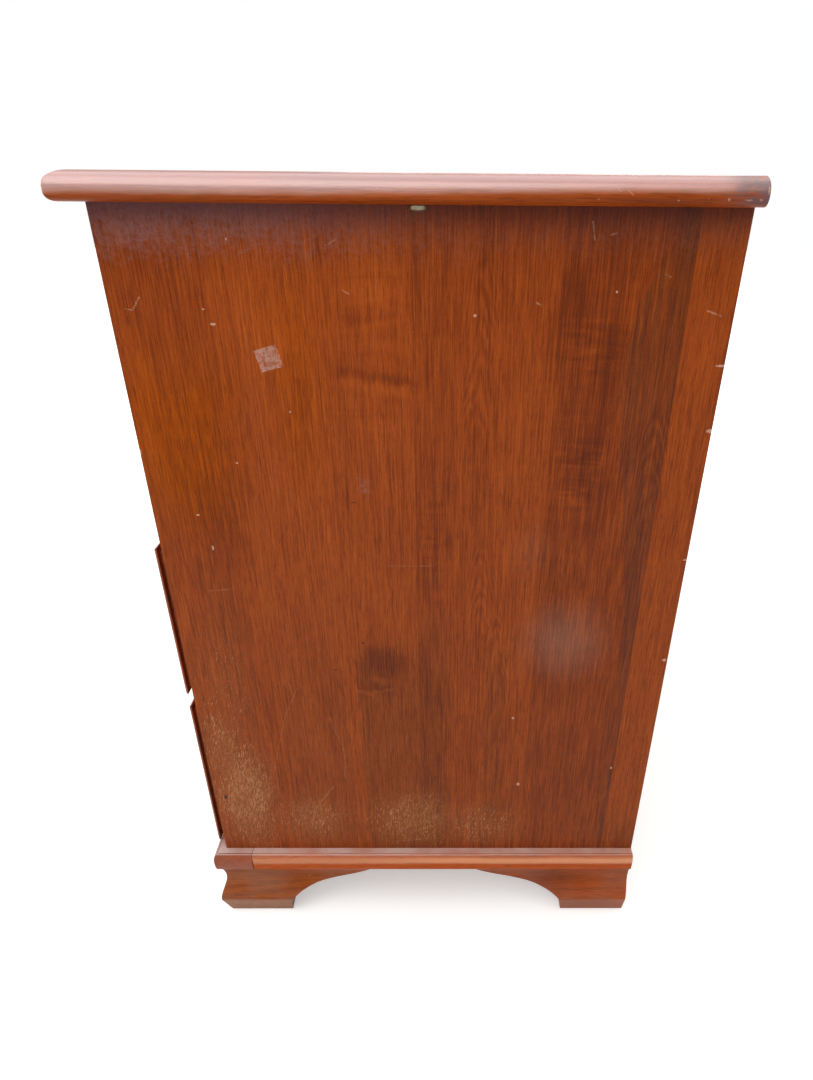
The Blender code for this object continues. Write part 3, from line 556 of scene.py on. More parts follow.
rightSide = {
    # All places are counted back from the case's front and up from the floor, in metres.
    "level": (1.20, 1.25, 1.43),
    # Joints between the glued boards, and each board's tone
    "joints": (0.0825, 0.1630, 0.2334, 0.2945, 0.3483, 0.4460),
    "boardTones": (0.47, 0.54, 0.53, 0.46, 0.49, 0.39, 0.54),
    "boardShifts": (0.1, 0.7, 0.35, 0.9, 0.2, 0.6, 0.45),
    # Lighter and darker clouds as (back, up, half width, half height, softness, change of tone)
    "clouds": (
        (0.0106, 0.580, 0.030, 0.110, 1.0, 0.10), (0.0606, 0.520, 0.030, 0.060, 1.0, -0.12),
        (0.1106, 0.680, 0.060, 0.060, 1.0, 0.09), (0.1956, 0.700, 0.038, 0.045, 1.0, 0.12),
        (0.2476, 0.490, 0.022, 0.110, 0.9, -0.10), (0.3200, 0.600, 0.026, 0.120, 1.0, 0.06),
        (0.3575, 0.690, 0.020, 0.055, 0.9, -0.17), (0.3875, 0.640, 0.020, 0.120, 0.9, -0.17),
        (0.3775, 0.560, 0.030, 0.052, 0.9, -0.12), (0.3925, 0.510, 0.015, 0.060, 0.9, -0.09),
    ),
    # Where the grain curls, as (back, up, half width, half height, softness, strength)
    "curls": (
        (0.3790, 0.662, 0.036, 0.036, 0.8, 0.80), (0.3740, 0.562, 0.036, 0.052, 0.8, 1.00),
        (0.2496, 0.490, 0.018, 0.100, 0.8, 0.40), (0.2006, 0.680, 0.040, 0.050, 0.8, 0.50),
        (0.2056, 0.600, 0.045, 0.025, 0.8, 0.40),
    ),
    # Arched figure as (back, up to its top, reach down, lean, slope)
    "arches": ((0.2876, 0.738, 0.050, 0.0, 0.10), (0.2866, 0.670, 0.050, 0.05, 0.10),
               (0.2900, 0.505, 0.060, -0.04, 0.14), (0.2985, 0.462, 0.120, -0.10, 0.06),
               (0.4340, 0.640, 0.075, -0.04, 0.10)),
    # A dark ripple that crosses its board at a slope, and the knot with its heart and the line over it
    "ripple": {"slope": -0.14, "height": 0.6631, "where": (0.2016, 0.630, 0.046, 0.05, 0.5)},
    "knot": ((0.1966, 0.362, 0.030, 0.030, 0.7, 0.20), (0.1926, 0.333, 0.022, 0.012, 0.8, 0.20)),
    "knotHeart": (0.1946, 0.343, 0.013, 0.008, 0.8, 0.14),
    "hook": ((((0.1701, 0.3280), (0.1856, 0.3255), (0.2056, 0.3330)), 0.0030),),
    # How far the olive streak reaches from the last joint, by height
    "oliveReach": ((0.30, 0.004), (0.43, 0.014), (0.56, 0.036), (0.64, 0.046), (0.69, 0.038), (0.73, 0.018)),
    # How much duller and more violet it is made, by height
    "fading": ((0.20, 0.48), (0.44, 0.42), (0.57, 0.28), (0.72, 0.10)),
    # Darker, more violet stretches as (from, to, low, high, softness across, softness along, strength)
    "murk": (
        (0.1680, 0.2600, 0.000, 0.410, 0.004, 0.060, 0.85), (0.0830, 0.1630, 0.000, 0.460, 0.010, 0.160, 0.50),
        (0.2330, 0.2680, 0.000, 0.480, 0.008, 0.140, 0.55), (0.2945, 0.3260, 0.000, 0.440, 0.010, 0.120, 0.60),
        (0.3260, 0.3483, 0.000, 0.260, 0.006, 0.100, 0.30), (0.4460, 0.4900, 0.000, 0.190, 0.002, 0.090, 0.60),
        (0.4240, 0.4460, 0.080, 0.540, 0.012, 0.060, 0.55), (0.0300, 0.0700, 0.330, 0.480, 0.020, 0.070, 0.35),
    ),
    "golden": ((-0.030, 0.105, 0.470, 0.690, 0.05, 0.09, 1.0), (0.100, 0.175, 0.520, 0.730, 0.05, 0.07, 0.75)),
    # Painted glare: soft pale spots of reflected light
    "glares": ((0.3770, 0.3880, 0.060, 0.060, 1.0, 0.22), (0.3376, 0.4830, 0.026, 0.036, 1.0, 0.05)),
    "greySmear": ((0.1884, 0.5445, 0.007, 0.014, 0.8, 1.0),),
    # Rubbed areas near the floor as (back, up, half width, half height, softness, strength)
    "scuffs": (
        (0.0356, 0.185, 0.050, 0.115, 0.8, 1.0), (0.0206, 0.245, 0.040, 0.100, 0.9, 0.75),
        (0.1076, 0.150, 0.060, 0.055, 0.9, 0.70), (0.2256, 0.148, 0.085, 0.065, 0.9, 0.75),
        (0.0356, 0.330, 0.050, 0.130, 1.0, 0.32), (0.2956, 0.140, 0.080, 0.052, 0.9, 0.55),
    ),
    # Scratches as (back, up) places joined up, with their width
    "scratches": (
        (((0.0127, 0.6832), (0.0187, 0.6825), (0.0253, 0.6916)), 0.0006),
        (((0.1698, 0.7265), (0.1774, 0.7304)), 0.0006), (((0.1802, 0.6974), (0.1854, 0.6947)), 0.0006),
        (((0.3664, 0.7431), (0.3691, 0.7317)), 0.0008), (((0.3805, 0.735), (0.3848, 0.7363)), 0.0007),
        (((0.3292, 0.6895), (0.3324, 0.6881)), 0.0009), (((0.4245, 0.7099), (0.4293, 0.7079)), 0.0006),
        (((0.4619, 0.6848), (0.4727, 0.6813)), 0.001),
    ),
    "faintLines": (
        (((0.2045, 0.4684), (0.248, 0.4686)), 0.0007), (((0.0365, 0.442), (0.0585, 0.4442)), 0.0008),
        (((0.1079, 0.3315), (0.0910, 0.2940), (0.0707, 0.2191)), 0.0007),
        (((0.1385, 0.2934), (0.1510, 0.2460), (0.1486, 0.212)), 0.0007),
        (((0.1342, 0.1972), (0.1125, 0.1660), (0.1064, 0.1402)), 0.0016),
        (((0.2092, 0.1126), (0.2424, 0.1176)), 0.001),
    ),
    # Chips through the finish as (back, up, half width, half height)
    "chips": (
        (0.0784, 0.6729, 0.0028, 0.0010), (0.0725, 0.6836, 0.0016, 0.0006), (0.0975, 0.7304, 0.001, 0.0012),
        (0.1309, 0.6069, 0.0012, 0.0008), (0.0809, 0.5641, 0.0014, 0.0009), (0.0394, 0.5173, 0.0022, 0.001),
        (0.2818, 0.6801, 0.0017, 0.0014), (0.3898, 0.6975, 0.001, 0.0013), (0.3314, 0.2938, 0.0016, 0.0018),
        (0.3418, 0.2019, 0.0021, 0.0028), (0.4435, 0.2254, 0.0012, 0.0022), (0.4821, 0.4757, 0.0036, 0.0011),
        (0.4796, 0.3665, 0.0026, 0.002), (0.0002, 0.5731, 0.0016, 0.0026), (0.0475, 0.4857, 0.0012, 0.0028),
        (0.4806, 0.6449, 0.0062, 0.0009), (0.4821, 0.5932, 0.0048, 0.0022),
    ),
    "darkMarks": (
        (0.1786, 0.5295, 0.0036, 0.0009), (0.149, 0.3536, 0.003, 0.0013), (0.1786, 0.3854, 0.0024, 0.0014),
        (0.012, 0.1821, 0.0036, 0.0042),
    ),
    "label": {"place": (0.1183, 0.6481), "size": (0.0185, 0.0170), "tilt": 15.0},
}


def rightSideCherry():
    # The side that the photograph shows, with its boards, marks and rubbed places.
    material, t, shader = newMaterial("cherryRightSide")
    look = rightSide
    x, y, z = t.split(t.place())
    back = y - caseFront
    flat = t.join(back, z)

    def wobble(scale, reach):
        sideways = t.cloud(scale).scaled(reach, -reach / 2)
        upwards = t.cloud((-scale, scale, -scale)).scaled(reach, -reach / 2)
        return flat + t.join(sideways, upwards)

    def spot(place, across, high, wide, tall, soft, strength=1.0):
        return t.spots(place, ((across, high, wide, tall, soft, strength),))

    # Boards
    level = t.steps(back, look["joints"], look["boardTones"])
    shift = t.steps(back, look["joints"], look["boardShifts"])
    place = t.join(x + shift, y, shift.scaled(4.0, z))
    grain = t.use(woodGrain, Place=place, Figure=0.06, Broad=0.15, Middle=0.17, Fine=1.15)
    tone = grain["Tone"] + (level - 0.5)
    loose, near = wobble(24.0, 0.050), wobble(70.0, 0.016)

    # Broad light and dark clouds, a touch of curl all over and strong curl in places
    for *where, change in look["clouds"]:
        cloud = spot(loose, *where, abs(change))
        tone = tone + cloud if change > 0 else tone - cloud
    curl = t.noise(place, (18, 18, 120), 2.0, 0.5, 0.8) - 0.5
    tone = (curl * (t.spots(near, look["curls"]) + 0.12)).scaled(0.8, tone)

    # Arched figure where a board was cut near the heart
    warp = (t.cloud((60, 60, 14), 2.0) - 0.5) * 0.01
    for centre, top, reach, lean, slope in look["arches"]:
        across = back - (z - top).scaled(lean, centre)
        down = (top - z).scaled(slope, warp)
        bow = across * across * 30.0
        lines = t.math("PINGPONG", (down - bow) * 430.0, 0.5)
        where = spot(flat, centre - lean * reach, top - reach, 0.022, reach * 1.1, 0.6)
        tone = ((lines - 0.27) * where).scaled(0.4, tone)

    # The dark ripple on the third board, with a light one under it
    band = (t.cloud((1, 300, 60), 2.0) - 0.5).scaled(0.012, z)
    off = band - back.scaled(look["ripple"]["slope"], look["ripple"]["height"])
    where = spot(flat, *look["ripple"]["where"])
    ripple = t.between(abs(off + 0.009), 0.0, 0.007, 0.8, 0.0) - t.between(abs(off), 0.0, 0.007, 1.0, 0.0)
    tone = (ripple * where).scaled(0.17, tone)

    # The knot low on the third board
    knot = t.spots(near, look["knot"]) - spot(near, *look["knotHeart"])
    colour = cherryRamp(t, (tone - knot).clamped())
    colour = t.mix(t.scratches(near, look["hook"]) * 0.3, colour, cherryLook["lightest"])
    colour = t.mix(grain["Pores"] * 0.42, colour, cherryLook["darkest"])

    # Duller and more violet towards the floor, golden in places
    lowerDulling = t.slopes(z, look["fading"])
    colour = t.mix(lowerDulling, t.tint(lowerDulling, colour, (0.90, 1.0, 1.0)), (0.0, 0.0090, 0.0130), "ADD")
    colour = t.tint(t.strips(near, look["murk"]) * t.between(z, 0.5, 0.4, 0.6, 1.0), colour, (0.74, 0.83, 1.02))
    colour = t.tint(t.strips(loose, look["golden"]), colour, (1.06, 1.01, 0.16))

    # Olive down the sixth board
    jointFar = look["joints"][5] - back
    reach = t.slopes(z, look["oliveReach"])
    ragged = (t.noise(place, (150, 150, 9), 3.0) - 0.5).scaled(0.014, jointFar)
    olive = t.between(ragged - reach, 0.003, -0.003) * (jointFar > 0.0)
    olive = olive * t.between(t.noise(place, (260, 260, 9), 3.0), 0.36, 0.58, 0.4, 1.0)
    colour = t.tint(olive * 0.66, colour, (0.56, 0.78, 1.5))

    # Dark glue lines, bloom under the top, and a painted shadow under the top's overhang
    nearest = t.extreme("MINIMUM", [abs(back - joint) for joint in look["joints"]])
    colour = t.mix(t.between(nearest, 0.0001, 0.0008, 0.26, 0.0), colour, cherryLook["darkest"])
    mottle = t.cloud(260, 4.0, 0.72)
    bloomEdge = (t.cloud((24, 24, 34), 4.0, 0.68) - 0.5).scaled(0.026, z)
    bloomEdge = (mottle - 0.5).scaled(0.075, bloomEdge)
    forward = t.between(back, 0.30, 0.06, 0.22, 1.0)
    colour = t.mix(t.between(bloomEdge, 0.712, 0.756) * forward * 0.62, colour, (0.300, 0.1500, 0.1250))
    # Painted shadow: darker and bluer just under the top's overhang
    colour = t.tint(t.between(z, 0.736, 0.753, 0.0, 0.70), colour, (0.34, 0.38, 0.6))
    colour = t.tint(1.0, colour, look["level"])

    # Painted glare, soft pale spots of reflected light, and a grey smear
    colour = t.mix(t.spots(near, look["glares"]), colour, (0.430, 0.270, 0.200))
    smear = t.spots(near, look["greySmear"]) * t.between(mottle, 0.45, 0.6)
    colour = t.mix(smear * 0.35, colour, (0.300, 0.180, 0.170))

    # Scuffs by the floor, worn through in short strokes along the grain
    scuffed = t.spots(near, look["scuffs"])
    leaning = t.join(x, z.scaled(-0.2, y), z)
    strokes = t.noise(leaning + (3, 0, 0), (1, 980, 190), 2.0, 0.6)
    dusting = t.noise(t.place() + (7, 0, 0), (1, 1000, 760), 2.0)
    colour = t.mix(scuffed * 0.4, colour, (0.310, 0.118, 0.044))
    torn = t.between(scuffed.scaled(0.19, strokes), 0.66, 0.74)
    torn = torn * t.between(t.cloud((45, 45, 30), 3.0), 0.35, 0.58, 0.35, 1.0)
    torn = torn * t.between(scuffed, 0.0, 0.3, 0.12, 1.0)
    dusty = t.between(scuffed.scaled(0.18, dusting), 0.68, 0.78, 0.0, 0.4)
    colour = t.mix(t.extreme("MAXIMUM", (torn, dusty)) * 0.68, colour, (0.560, 0.265, 0.115))

    # Leftover paper label, scratches, chips and dark marks
    rough = wobble(620.0, 0.0018)
    label = look["label"]
    tilt = {"Vector": rough, "Location": (*label["place"], 0), "Rotation": (0, 0, math.radians(label["tilt"]))}
    turned = t.out("ShaderNodeMapping", tilt, vector_type="TEXTURE")
    across, over = turned.along(1, 0, 0), turned.along(0, 1, 0)
    inside = (abs(across) < label["size"][0] / 2) * (abs(over) < label["size"][1] / 2)
    paper = t.between(t.cloud(230, 4.0, 0.7), 0.38, 0.60, 0.20, 1.0)
    colour = t.mix(inside * paper * 0.66, colour, (0.58, 0.36, 0.29))
    broken = t.between(t.cloud(170, 2.0), 0.36, 0.56, 0.25, 1.0)
    scratched = t.scratches(rough, look["scratches"]) * broken
    faint = t.scratches(rough, look["faintLines"]) * broken
    chips = t.spots(rough, look["chips"], 0.5)
    specks = t.use(finishSpecks, Place=t.place(), Cells=130.0, More=0.22)["Mask"]
    worn = wornEdges(t, 2.0, 0.45)
    for mask, strength, shade in (
            (specks, 0.45, (0.50, 0.22, 0.12)), (faint, 0.22, (0.52, 0.27, 0.16)), (scratched, 0.5, (0.60, 0.33, 0.20)),
            (chips, 0.8, cherryLook["chip"]), (t.spots(rough, look["darkMarks"], 0.7), 0.75, (0.035, 0.014, 0.011)),
            (worn, 0.55, cherryLook["worn"])):
        colour = t.mix(mask * strength, colour, shade)
    grit = t.between(t.cloud((1300, 1300, 900), 2.0, 0.6), 0.30, 0.70, 0.0, 0.30, "LINEAR")
    colour = t.tint(grit, colour, (0.35, 0.35, 0.35))

    rubbed = t.extreme("MAXIMUM", [torn, scratched, chips, worn])
    smudge = t.between(t.cloud(11, 3.0, 0.6), 0.3, 0.7, 0.40, 0.54)
    roughness = rubbed.scaled(0.2, smudge)
    finishShader(t, shader, colour, roughness, grain["Height"], 0.00022, 0.08)
    return material


finishes = {
    "rightSide": rightSideCherry(),
    "leftSide": cherry("cherryLeftSide", "z", 11.0, figure=0.18, wear=0.4, gloss=0.14),
    "top": cherry("cherryTop", "x", 3.0, wear=0.4, haze=0.04, gloss=0.8, mitre=0.004, coat=0.6, sheen=0.25),
    "front": cherry("cherryDrawerFront", "x", 5.0, tint=-0.02, wear=0.12, haze=0.10, gloss=0.22),
    "rail": cherry("cherryRail", "x", 6.0, figure=0.1, tint=-0.06, wear=0.35, haze=0.10, gloss=0.22),
    "baseFront": cherry("cherryBaseFront", "x", 7.0, figure=0.1, tint=0.04, wear=0.45, haze=0.25, gloss=0.35, dust=0.9,
                        fine=0.85),
    # swell is the strength of the painted highlight along the base moulding
    "baseSide": cherry("cherryBaseSide", "y", 8.0, figure=0.1, tint=0.42, wear=0.35, haze=0.03, gloss=0.55, coat=0.25,
                       dust=0.9, fine=0.85, swell=0.55),
    "foot": cherry("cherryFoot", "x", 9.0, figure=0.12, tint=0.12, wear=0.5, haze=0.34, gloss=0.12, mitre=0.028,
                   toeDust=0.8, fine=0.95),
    "block": paleWood("glueBlockWood", "z", 2.0, ((0.16, 0.08, 0.03), (0.32, 0.19, 0.09), (0.46, 0.31, 0.17))),
    "alongDrawer": paleWood("drawerSideWood", "y", 4.0, ((0.30, 0.165, 0.08), (0.54, 0.335, 0.19), (0.68, 0.465, 0.3))),
    "acrossDrawer": paleWood("drawerBackWood", "x", 5.0, ((0.28, 0.155, 0.08), (0.52, 0.325, 0.18), (0.66, 0.455, 0.29))),
    "dustPanel": paleWood("dustPanelWood", "x", 6.0, ((0.24, 0.13, 0.05), (0.42, 0.27, 0.13), (0.56, 0.39, 0.21))),
    "back": paleWood("plywoodBack", "z", 7.0, ((0.17, 0.082, 0.040), (0.33, 0.180, 0.095), (0.44, 0.265, 0.155)), 0.3),
    "brass": metalFinish("agedBrass", (0.54, 0.37, 0.155), (0.13, 0.072, 0.028), 1.0, tarnish=0.7),
    "bailBrass": metalFinish("rubbedBrass", (0.68, 0.50, 0.23), (0.20, 0.12, 0.045), 2.0, (0.2, 0.38), 0.45),
    "zinc": metalFinish("yellowedZinc", (0.36, 0.32, 0.20), (0.15, 0.13, 0.07), 3.0, (0.38, 0.55)),
    "steel": metalFinish("dullSteel", (0.36, 0.34, 0.32), (0.10, 0.075, 0.06), 4.0, (0.4, 0.62), 0.75),
}
print("finishes made:", len(finishes))


# ---- geometry helpers

def addPiece(name, work, finish, body, nodes=(), smooth=32.0):
    # Work mesh to a finished piece that rides on its body and stands for its solids.
    bmesh.ops.recalc_face_normals(work, faces=work.faces)
    finishPiece(name, newMesh(name, work), finish, body, nodes, smooth)


def finishPiece(name, mesh, finish, body, nodes, smooth):
    mesh.materials.clear()
    mesh.materials.append(finishes[finish])
    mesh.shade_smooth()
    mesh.set_sharp_from_angle(angle=math.radians(smooth))
    piece = newObject(name, mesh)
    piece.modifiers.new("evenNormals", "WEIGHTED_NORMAL").keep_sharp = True
    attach(piece, body)
    if nodes:
        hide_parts(*nodes)


def loft(work, rings):
    # Skin over rings of points that all have the same count, closed at both ends.
    made = [[work.verts.new(point) for point in ring] for ring in rings]
    for first, second in zip(made, made[1:]):
        for number in range(len(first)):
            following = (number + 1) % len(first)
            work.faces.new((first[number], first[following], second[following], second[number]))
    work.faces.new(list(reversed(made[0])))
    work.faces.new(made[-1])


def line(start, end, steps):
    return [tuple(a + (b - a) * step / steps for a, b in zip(start, end)) for step in range(steps + 1)]


def quarter(centre, run, rise, start, end, steps):
    # Part of an oval, with its start and end in quarter turns.
    turns = [(start + (end - start) * step / steps) * math.pi / 2 for step in range(steps + 1)]
    return [(centre[0] + run * math.cos(turn), centre[1] + rise * math.sin(turn)) for turn in turns]


def circle(radius, steps):
    return quarter((0.0, 0.0), radius, radius, 0, 4, steps)[:-1]


def smoothRoute(points, steps, closed=False):
    # A smooth curve through given points.
    count = len(points)
    result = []
    spans = count if closed else count - 1
    for number in range(spans):
        p0, p1, p2, p3 = (points[(number + shift) % count] if closed else points[min(max(number + shift, 0), count - 1)]
                          for shift in (-1, 0, 1, 2))
        for step in range(steps):
            f = step / steps
            result.append(tuple(
                0.5 * (2 * b + (c - a) * f + (2 * a - 5 * b + 4 * c - d) * f * f + (3 * b - a - 3 * c + d) * f ** 3)
                for a, b, c, d in zip(p0, p1, p2, p3)))
    if not closed:
        result.append(tuple(points[-1]))
    return result


def dent(point, depth, seed):
    # Small hand-worn unevenness of an edge.
    wave = noise.noise(Vector(point) * 34.0 + Vector((seed, 0, 0)))
    fine = noise.noise(Vector(point) * 130.0 + Vector((0, seed, 0)))
    return depth * (0.6 * wave + 0.4 * fine)


def mouldedRings(xSpan, ySpan, edge, moulded, corner, pitch, depth, seed):
    # Level rings of a board whose edge, listed as (inset, height), is moulded on the named sides.
    rings = []
    wide, deep = xSpan[1] - xSpan[0], ySpan[1] - ySpan[0]
    alongX, alongY = max(2, round(wide / pitch)), max(2, round(deep / pitch))
    for inset, height in edge:
        x0 = xSpan[0] + (inset if "left" in moulded else 0.0)
        x1 = xSpan[1] - (inset if "right" in moulded else 0.0)
        y0 = ySpan[0] + (inset if "front" in moulded else 0.0)
        y1 = ySpan[1]
        radius = max(0.0005, corner - inset)
        left, right, front = x0 + radius, x1 - radius, y0 + radius
        ring = line((x1, front), (x1, y1), alongY) + line((x1, y1), (x0, y1), alongX)[1:]
        ring += line((x0, y1), (x0, front), alongY)[1:] + quarter((left, front), radius, radius, 2, 3, 4)[1:-1]
        ring += line((left, y0), (right, y0), alongX) + quarter((right, front), radius, radius, 3, 4, 4)[1:-1]
        made = []
        for x, y in ring:
            push = abs(dent((x, y, height), depth, seed))
            x -= push if "right" in moulded and x > right else 0.0
            x += push if "left" in moulded and x < left else 0.0
            y += push if "front" in moulded and y < front else 0.0
            made.append((x, y, height))
        rings.append(made)
    return rings


def easedCopy(name, node, finish, body="case", ease=0.0006, smooth=32.0, seats=(),
              rubbed=False):
    # A copy of a solid with its edges eased, and those eased faces marked as worn. A seat is a pair
    # of heights: what stands at the first is let out to the second, and its edges stay crisp.
    # Rubbed marks the slanting faces of a solid that is already rounded; on the drawer fronts their worn colour is
    # partly wear and partly a painted highlight on the rounded lip.
    work = bmesh.new()
    work.from_mesh(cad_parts[node].data)
    bmesh.ops.remove_doubles(work, verts=work.verts, dist=0.00001)
    bmesh.ops.dissolve_limit(work, angle_limit=math.radians(0.6), verts=work.verts, edges=work.edges)
    mark = work.faces.layers.float.new("worn")
    for height, seat in seats:
        for vert in work.verts:
            if abs(vert.co.z - height) < 0.0001:
                vert.co.z = seat
    if ease:
        edges = [edge for edge in work.edges
                 if len(edge.link_faces) == 2 and edge.calc_face_angle(0.0) > math.radians(30.0)
                 and not any(sum(abs(vert.co.z - seat) for vert in edge.verts) < 0.0001 for _, seat in seats)]
        made = bmesh.ops.bevel(work, geom=edges, offset=ease, offset_type="OFFSET", segments=2, profile=0.5,
                               affect="EDGES", clamp_overlap=True)
        for face in made["faces"]:
            face[mark] = 1.0
    if rubbed:
        work.normal_update()
        for face in work.faces:
            if 0.25 < max(abs(part) for part in face.normal) < 0.985:
                face[mark] = 1.0
    addPiece(name, work, finish, body, (node,), smooth)


# ---- top board

topSet = {
    "lowerRun": 0.0075,
    "lowerRise": 0.006,
    "upperRun": 0.016,
    "upperRise": 0.011,
    "corner": 0.0030,
    "pitch": 0.011,
    "unevenness": 0.00035,
    "seed": 4.0,
}


def makeTop(size):
    low, high = topLow.z, topHigh.z
    edge = quarter((size["lowerRun"], low + size["lowerRise"]), -size["lowerRun"], -size["lowerRise"], 1, 0, 8)
    edge += quarter((size["upperRun"], high - size["upperRise"]), -size["upperRun"], size["upperRise"], 0, 1, 16)
    work = bmesh.new()
    loft(work, mouldedRings((topLow.x, topHigh.x), (topLow.y, topHigh.y), edge, ("left", "front", "right"),
                            size["corner"], size["pitch"], size["unevenness"], size["seed"]))
    addPiece("topBoard", work, "top", "case", ("top",), smooth=30.0)


makeTop(topSet)
print("top made")


# ---- base mouldings

baseSet = {
    "ledgeInset": 0.0049,
    "quirkDepth": 0.0012,
    "quirkWidth": 0.0009,
    "roundTop": 0.0115,
    "roundUnder": 0.0025,
    "corner": 0.0016,
    "pitch": 0.010,
    "unevenness": 0.00022,
}


def baseEdge(size):
    swell = ledgeHeight - size["roundTop"]
    outer = size["ledgeInset"] - size["quirkWidth"]
    edge = quarter((size["roundUnder"], swell), -size["roundUnder"], footHeight - swell, 1, 0, 9)
    edge += quarter((outer, swell), -outer, size["roundTop"] - size["quirkDepth"] / 2, 0, 1, 10)[1:]
    edge += [(outer + 0.0002, ledgeHeight - size["quirkDepth"]), (size["ledgeInset"], ledgeHeight - size["quirkDepth"])]
    return edge + [(size["ledgeInset"], ledgeHeight - 0.0003), (size["ledgeInset"] + 0.0004, ledgeHeight)]


def makeBase(size):
    edge = baseEdge(size)
    for node, name, moulded, finish in (
            ("base_front", "baseFrontMoulding", ("left", "front", "right"), "baseFront"),
            ("base_side_left", "baseSideLeftMoulding", ("left",), "baseSide"),
            ("base_side_right", "baseSideRightMoulding", ("right",), "baseSide")):
        low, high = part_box(node)
        work = bmesh.new()
        loft(work, mouldedRings((low.x, high.x), (low.y, high.y), edge, moulded, size["corner"], size["pitch"],
                                size["unevenness"], len(node)))
        addPiece(name, work, finish, "case", (node,), smooth=34.0)


makeBase(baseSet)
print("base made")


# ---- bracket feet

footSet = {
    "topOutset": 0.0085,
    "neckOutset": 0.0048,
    "bulgeOutset": 0.0138,
    "toeOutset": 0.0058,
    "neckShare": 0.22,
    "bulgeShare": 0.66,
    "wallInset": 0.012,
    "frontToe": 0.0695,
    "frontTip": 0.172,
    "rearToe": 0.0775,
    "rearTip": 0.188,
    "blockSize": 0.036,
    "blockLift": 0.003,
    "blockEase": 0.0012,
    "rearBracketThickness": 0.019,
    "rearBracketToe": 0.040,
    "rearBracketTip": 0.120,
    "scroll": ((0.0, 1.0), (0.012, 0.80), (0.045, 0.66), (0.115, 0.545), (0.22, 0.445), (0.37, 0.345),
               (0.57, 0.262), (0.78, 0.185), (0.91, 0.118), (1.0, 0.040)),
}
footTop = footHeight - 0.0003


def footOutset(size, height):
    bulge, neck = footTop * (1 - size["bulgeShare"]), footTop * (1 - size["neckShare"])
    if height < bulge:
        return size["toeOutset"] + (size["bulgeOutset"] - size["toeOutset"]) * height / bulge
    if height < neck:
        fall = (1 - math.cos((height - bulge) / (neck - bulge) * math.pi)) / 2
        return size["bulgeOutset"] + (size["neckOutset"] - size["bulgeOutset"]) * fall
    rise = 1 - math.cos((height - neck) / (footTop - neck) * math.pi / 2)
    return size["neckOutset"] + (size["topOutset"] - size["neckOutset"]) * rise


def footSection(size, bottom):
    # One slice through a bracket as (outset, height), eased at its lower edges.
    inner = size["wallInset"]
    bulge = footTop * (1 - size["bulgeShare"])
    ease = 0.0007
    split = max(bulge, bottom + ease * 1.4)
    heights = [bottom + ease * 0.3] + [height for height, in line((bottom + ease,), (split,), 6)]
    heights += [height for height, in line((split,), (footTop - 0.0004,), 18)[1:]]
    outer = [(footOutset(size, height), height) for height in heights]
    first = (outer[0][0] - ease * 0.7, bottom)
    outer[0] = (outer[0][0] - ease * 0.2, heights[0])
    return [(-inner, bottom), first] + outer + [(outer[-1][0] - 0.0004, footTop), (-inner, footTop)]


def scrollRoute(size, toe, tip):
    return [(toe + (tip - toe) * run, footTop * (1 - fall)) for run, fall in smoothRoute(size["scroll"], 5)]


def makeFrontFoot(size, side, label):
    # The front bracket from its tip to the mitre, then the side bracket on to its own tip.
    past = 0.014
    run = line((0.0, 0.0), (size["frontToe"], 0.0), 6)[1:-1] + scrollRoute(size, size["frontToe"], size["frontTip"])
    rings = [[(side * (halfCase - away), caseFront - out, up) for out, up in footSection(size, bottom)]
             for away, bottom in reversed(run)]
    foot = footSection(size, 0.0)
    rings.append([(side * (halfCase - past), caseFront - out, up) for out, up in foot])
    rings.append([(side * (halfCase + out), caseFront - out, up) for out, up in foot])
    rings.append([(side * (halfCase + out), caseFront + past, up) for out, up in foot])
    rings += [[(side * (halfCase + out), caseFront + away, up) for out, up in footSection(size, bottom)]
              for away, bottom in run if away > past]
    work = bmesh.new()
    loft(work, rings)
    addPiece(f"frontFoot{label}", work, "foot", "case", (f"front_foot_{label.lower()}",), smooth=30.0)


def easedBox(work, low, high, ease):
    # A box with eased edges, as level rings.
    rings = []
    near = ease * 0.3
    for z, inset in ((low[2], ease), (low[2] + near, near), (low[2] + ease, 0.0),
                     (high[2] - ease, 0.0), (high[2] - near, near), (high[2], ease)):
        x0, x1, y0, y1 = low[0] + inset, high[0] - inset, low[1] + inset, high[1] - inset
        rings.append([(x0, y0 + ease, z), (x0 + near, y0 + near, z), (x0 + ease, y0, z),
                      (x1 - ease, y0, z), (x1 - near, y0 + near, z), (x1, y0 + ease, z),
                      (x1, y1 - ease, z), (x1 - near, y1 - near, z), (x1 - ease, y1, z),
                      (x0 + ease, y1, z), (x0 + near, y1 - near, z), (x0, y1 - ease, z)])
    loft(work, rings)


def makeGlueBlock(size, side, label):
    wall, front = halfCase - size["wallInset"], caseFront + size["wallInset"]
    xs = sorted((side * wall, side * (wall - size["blockSize"])))
    work = bmesh.new()
    easedBox(work, (xs[0], front, size["blockLift"]), (xs[1], front + size["blockSize"], footTop - size["blockLift"]),
             size["blockEase"])
    addPiece(f"glueBlock{label}", work, "block", "case")


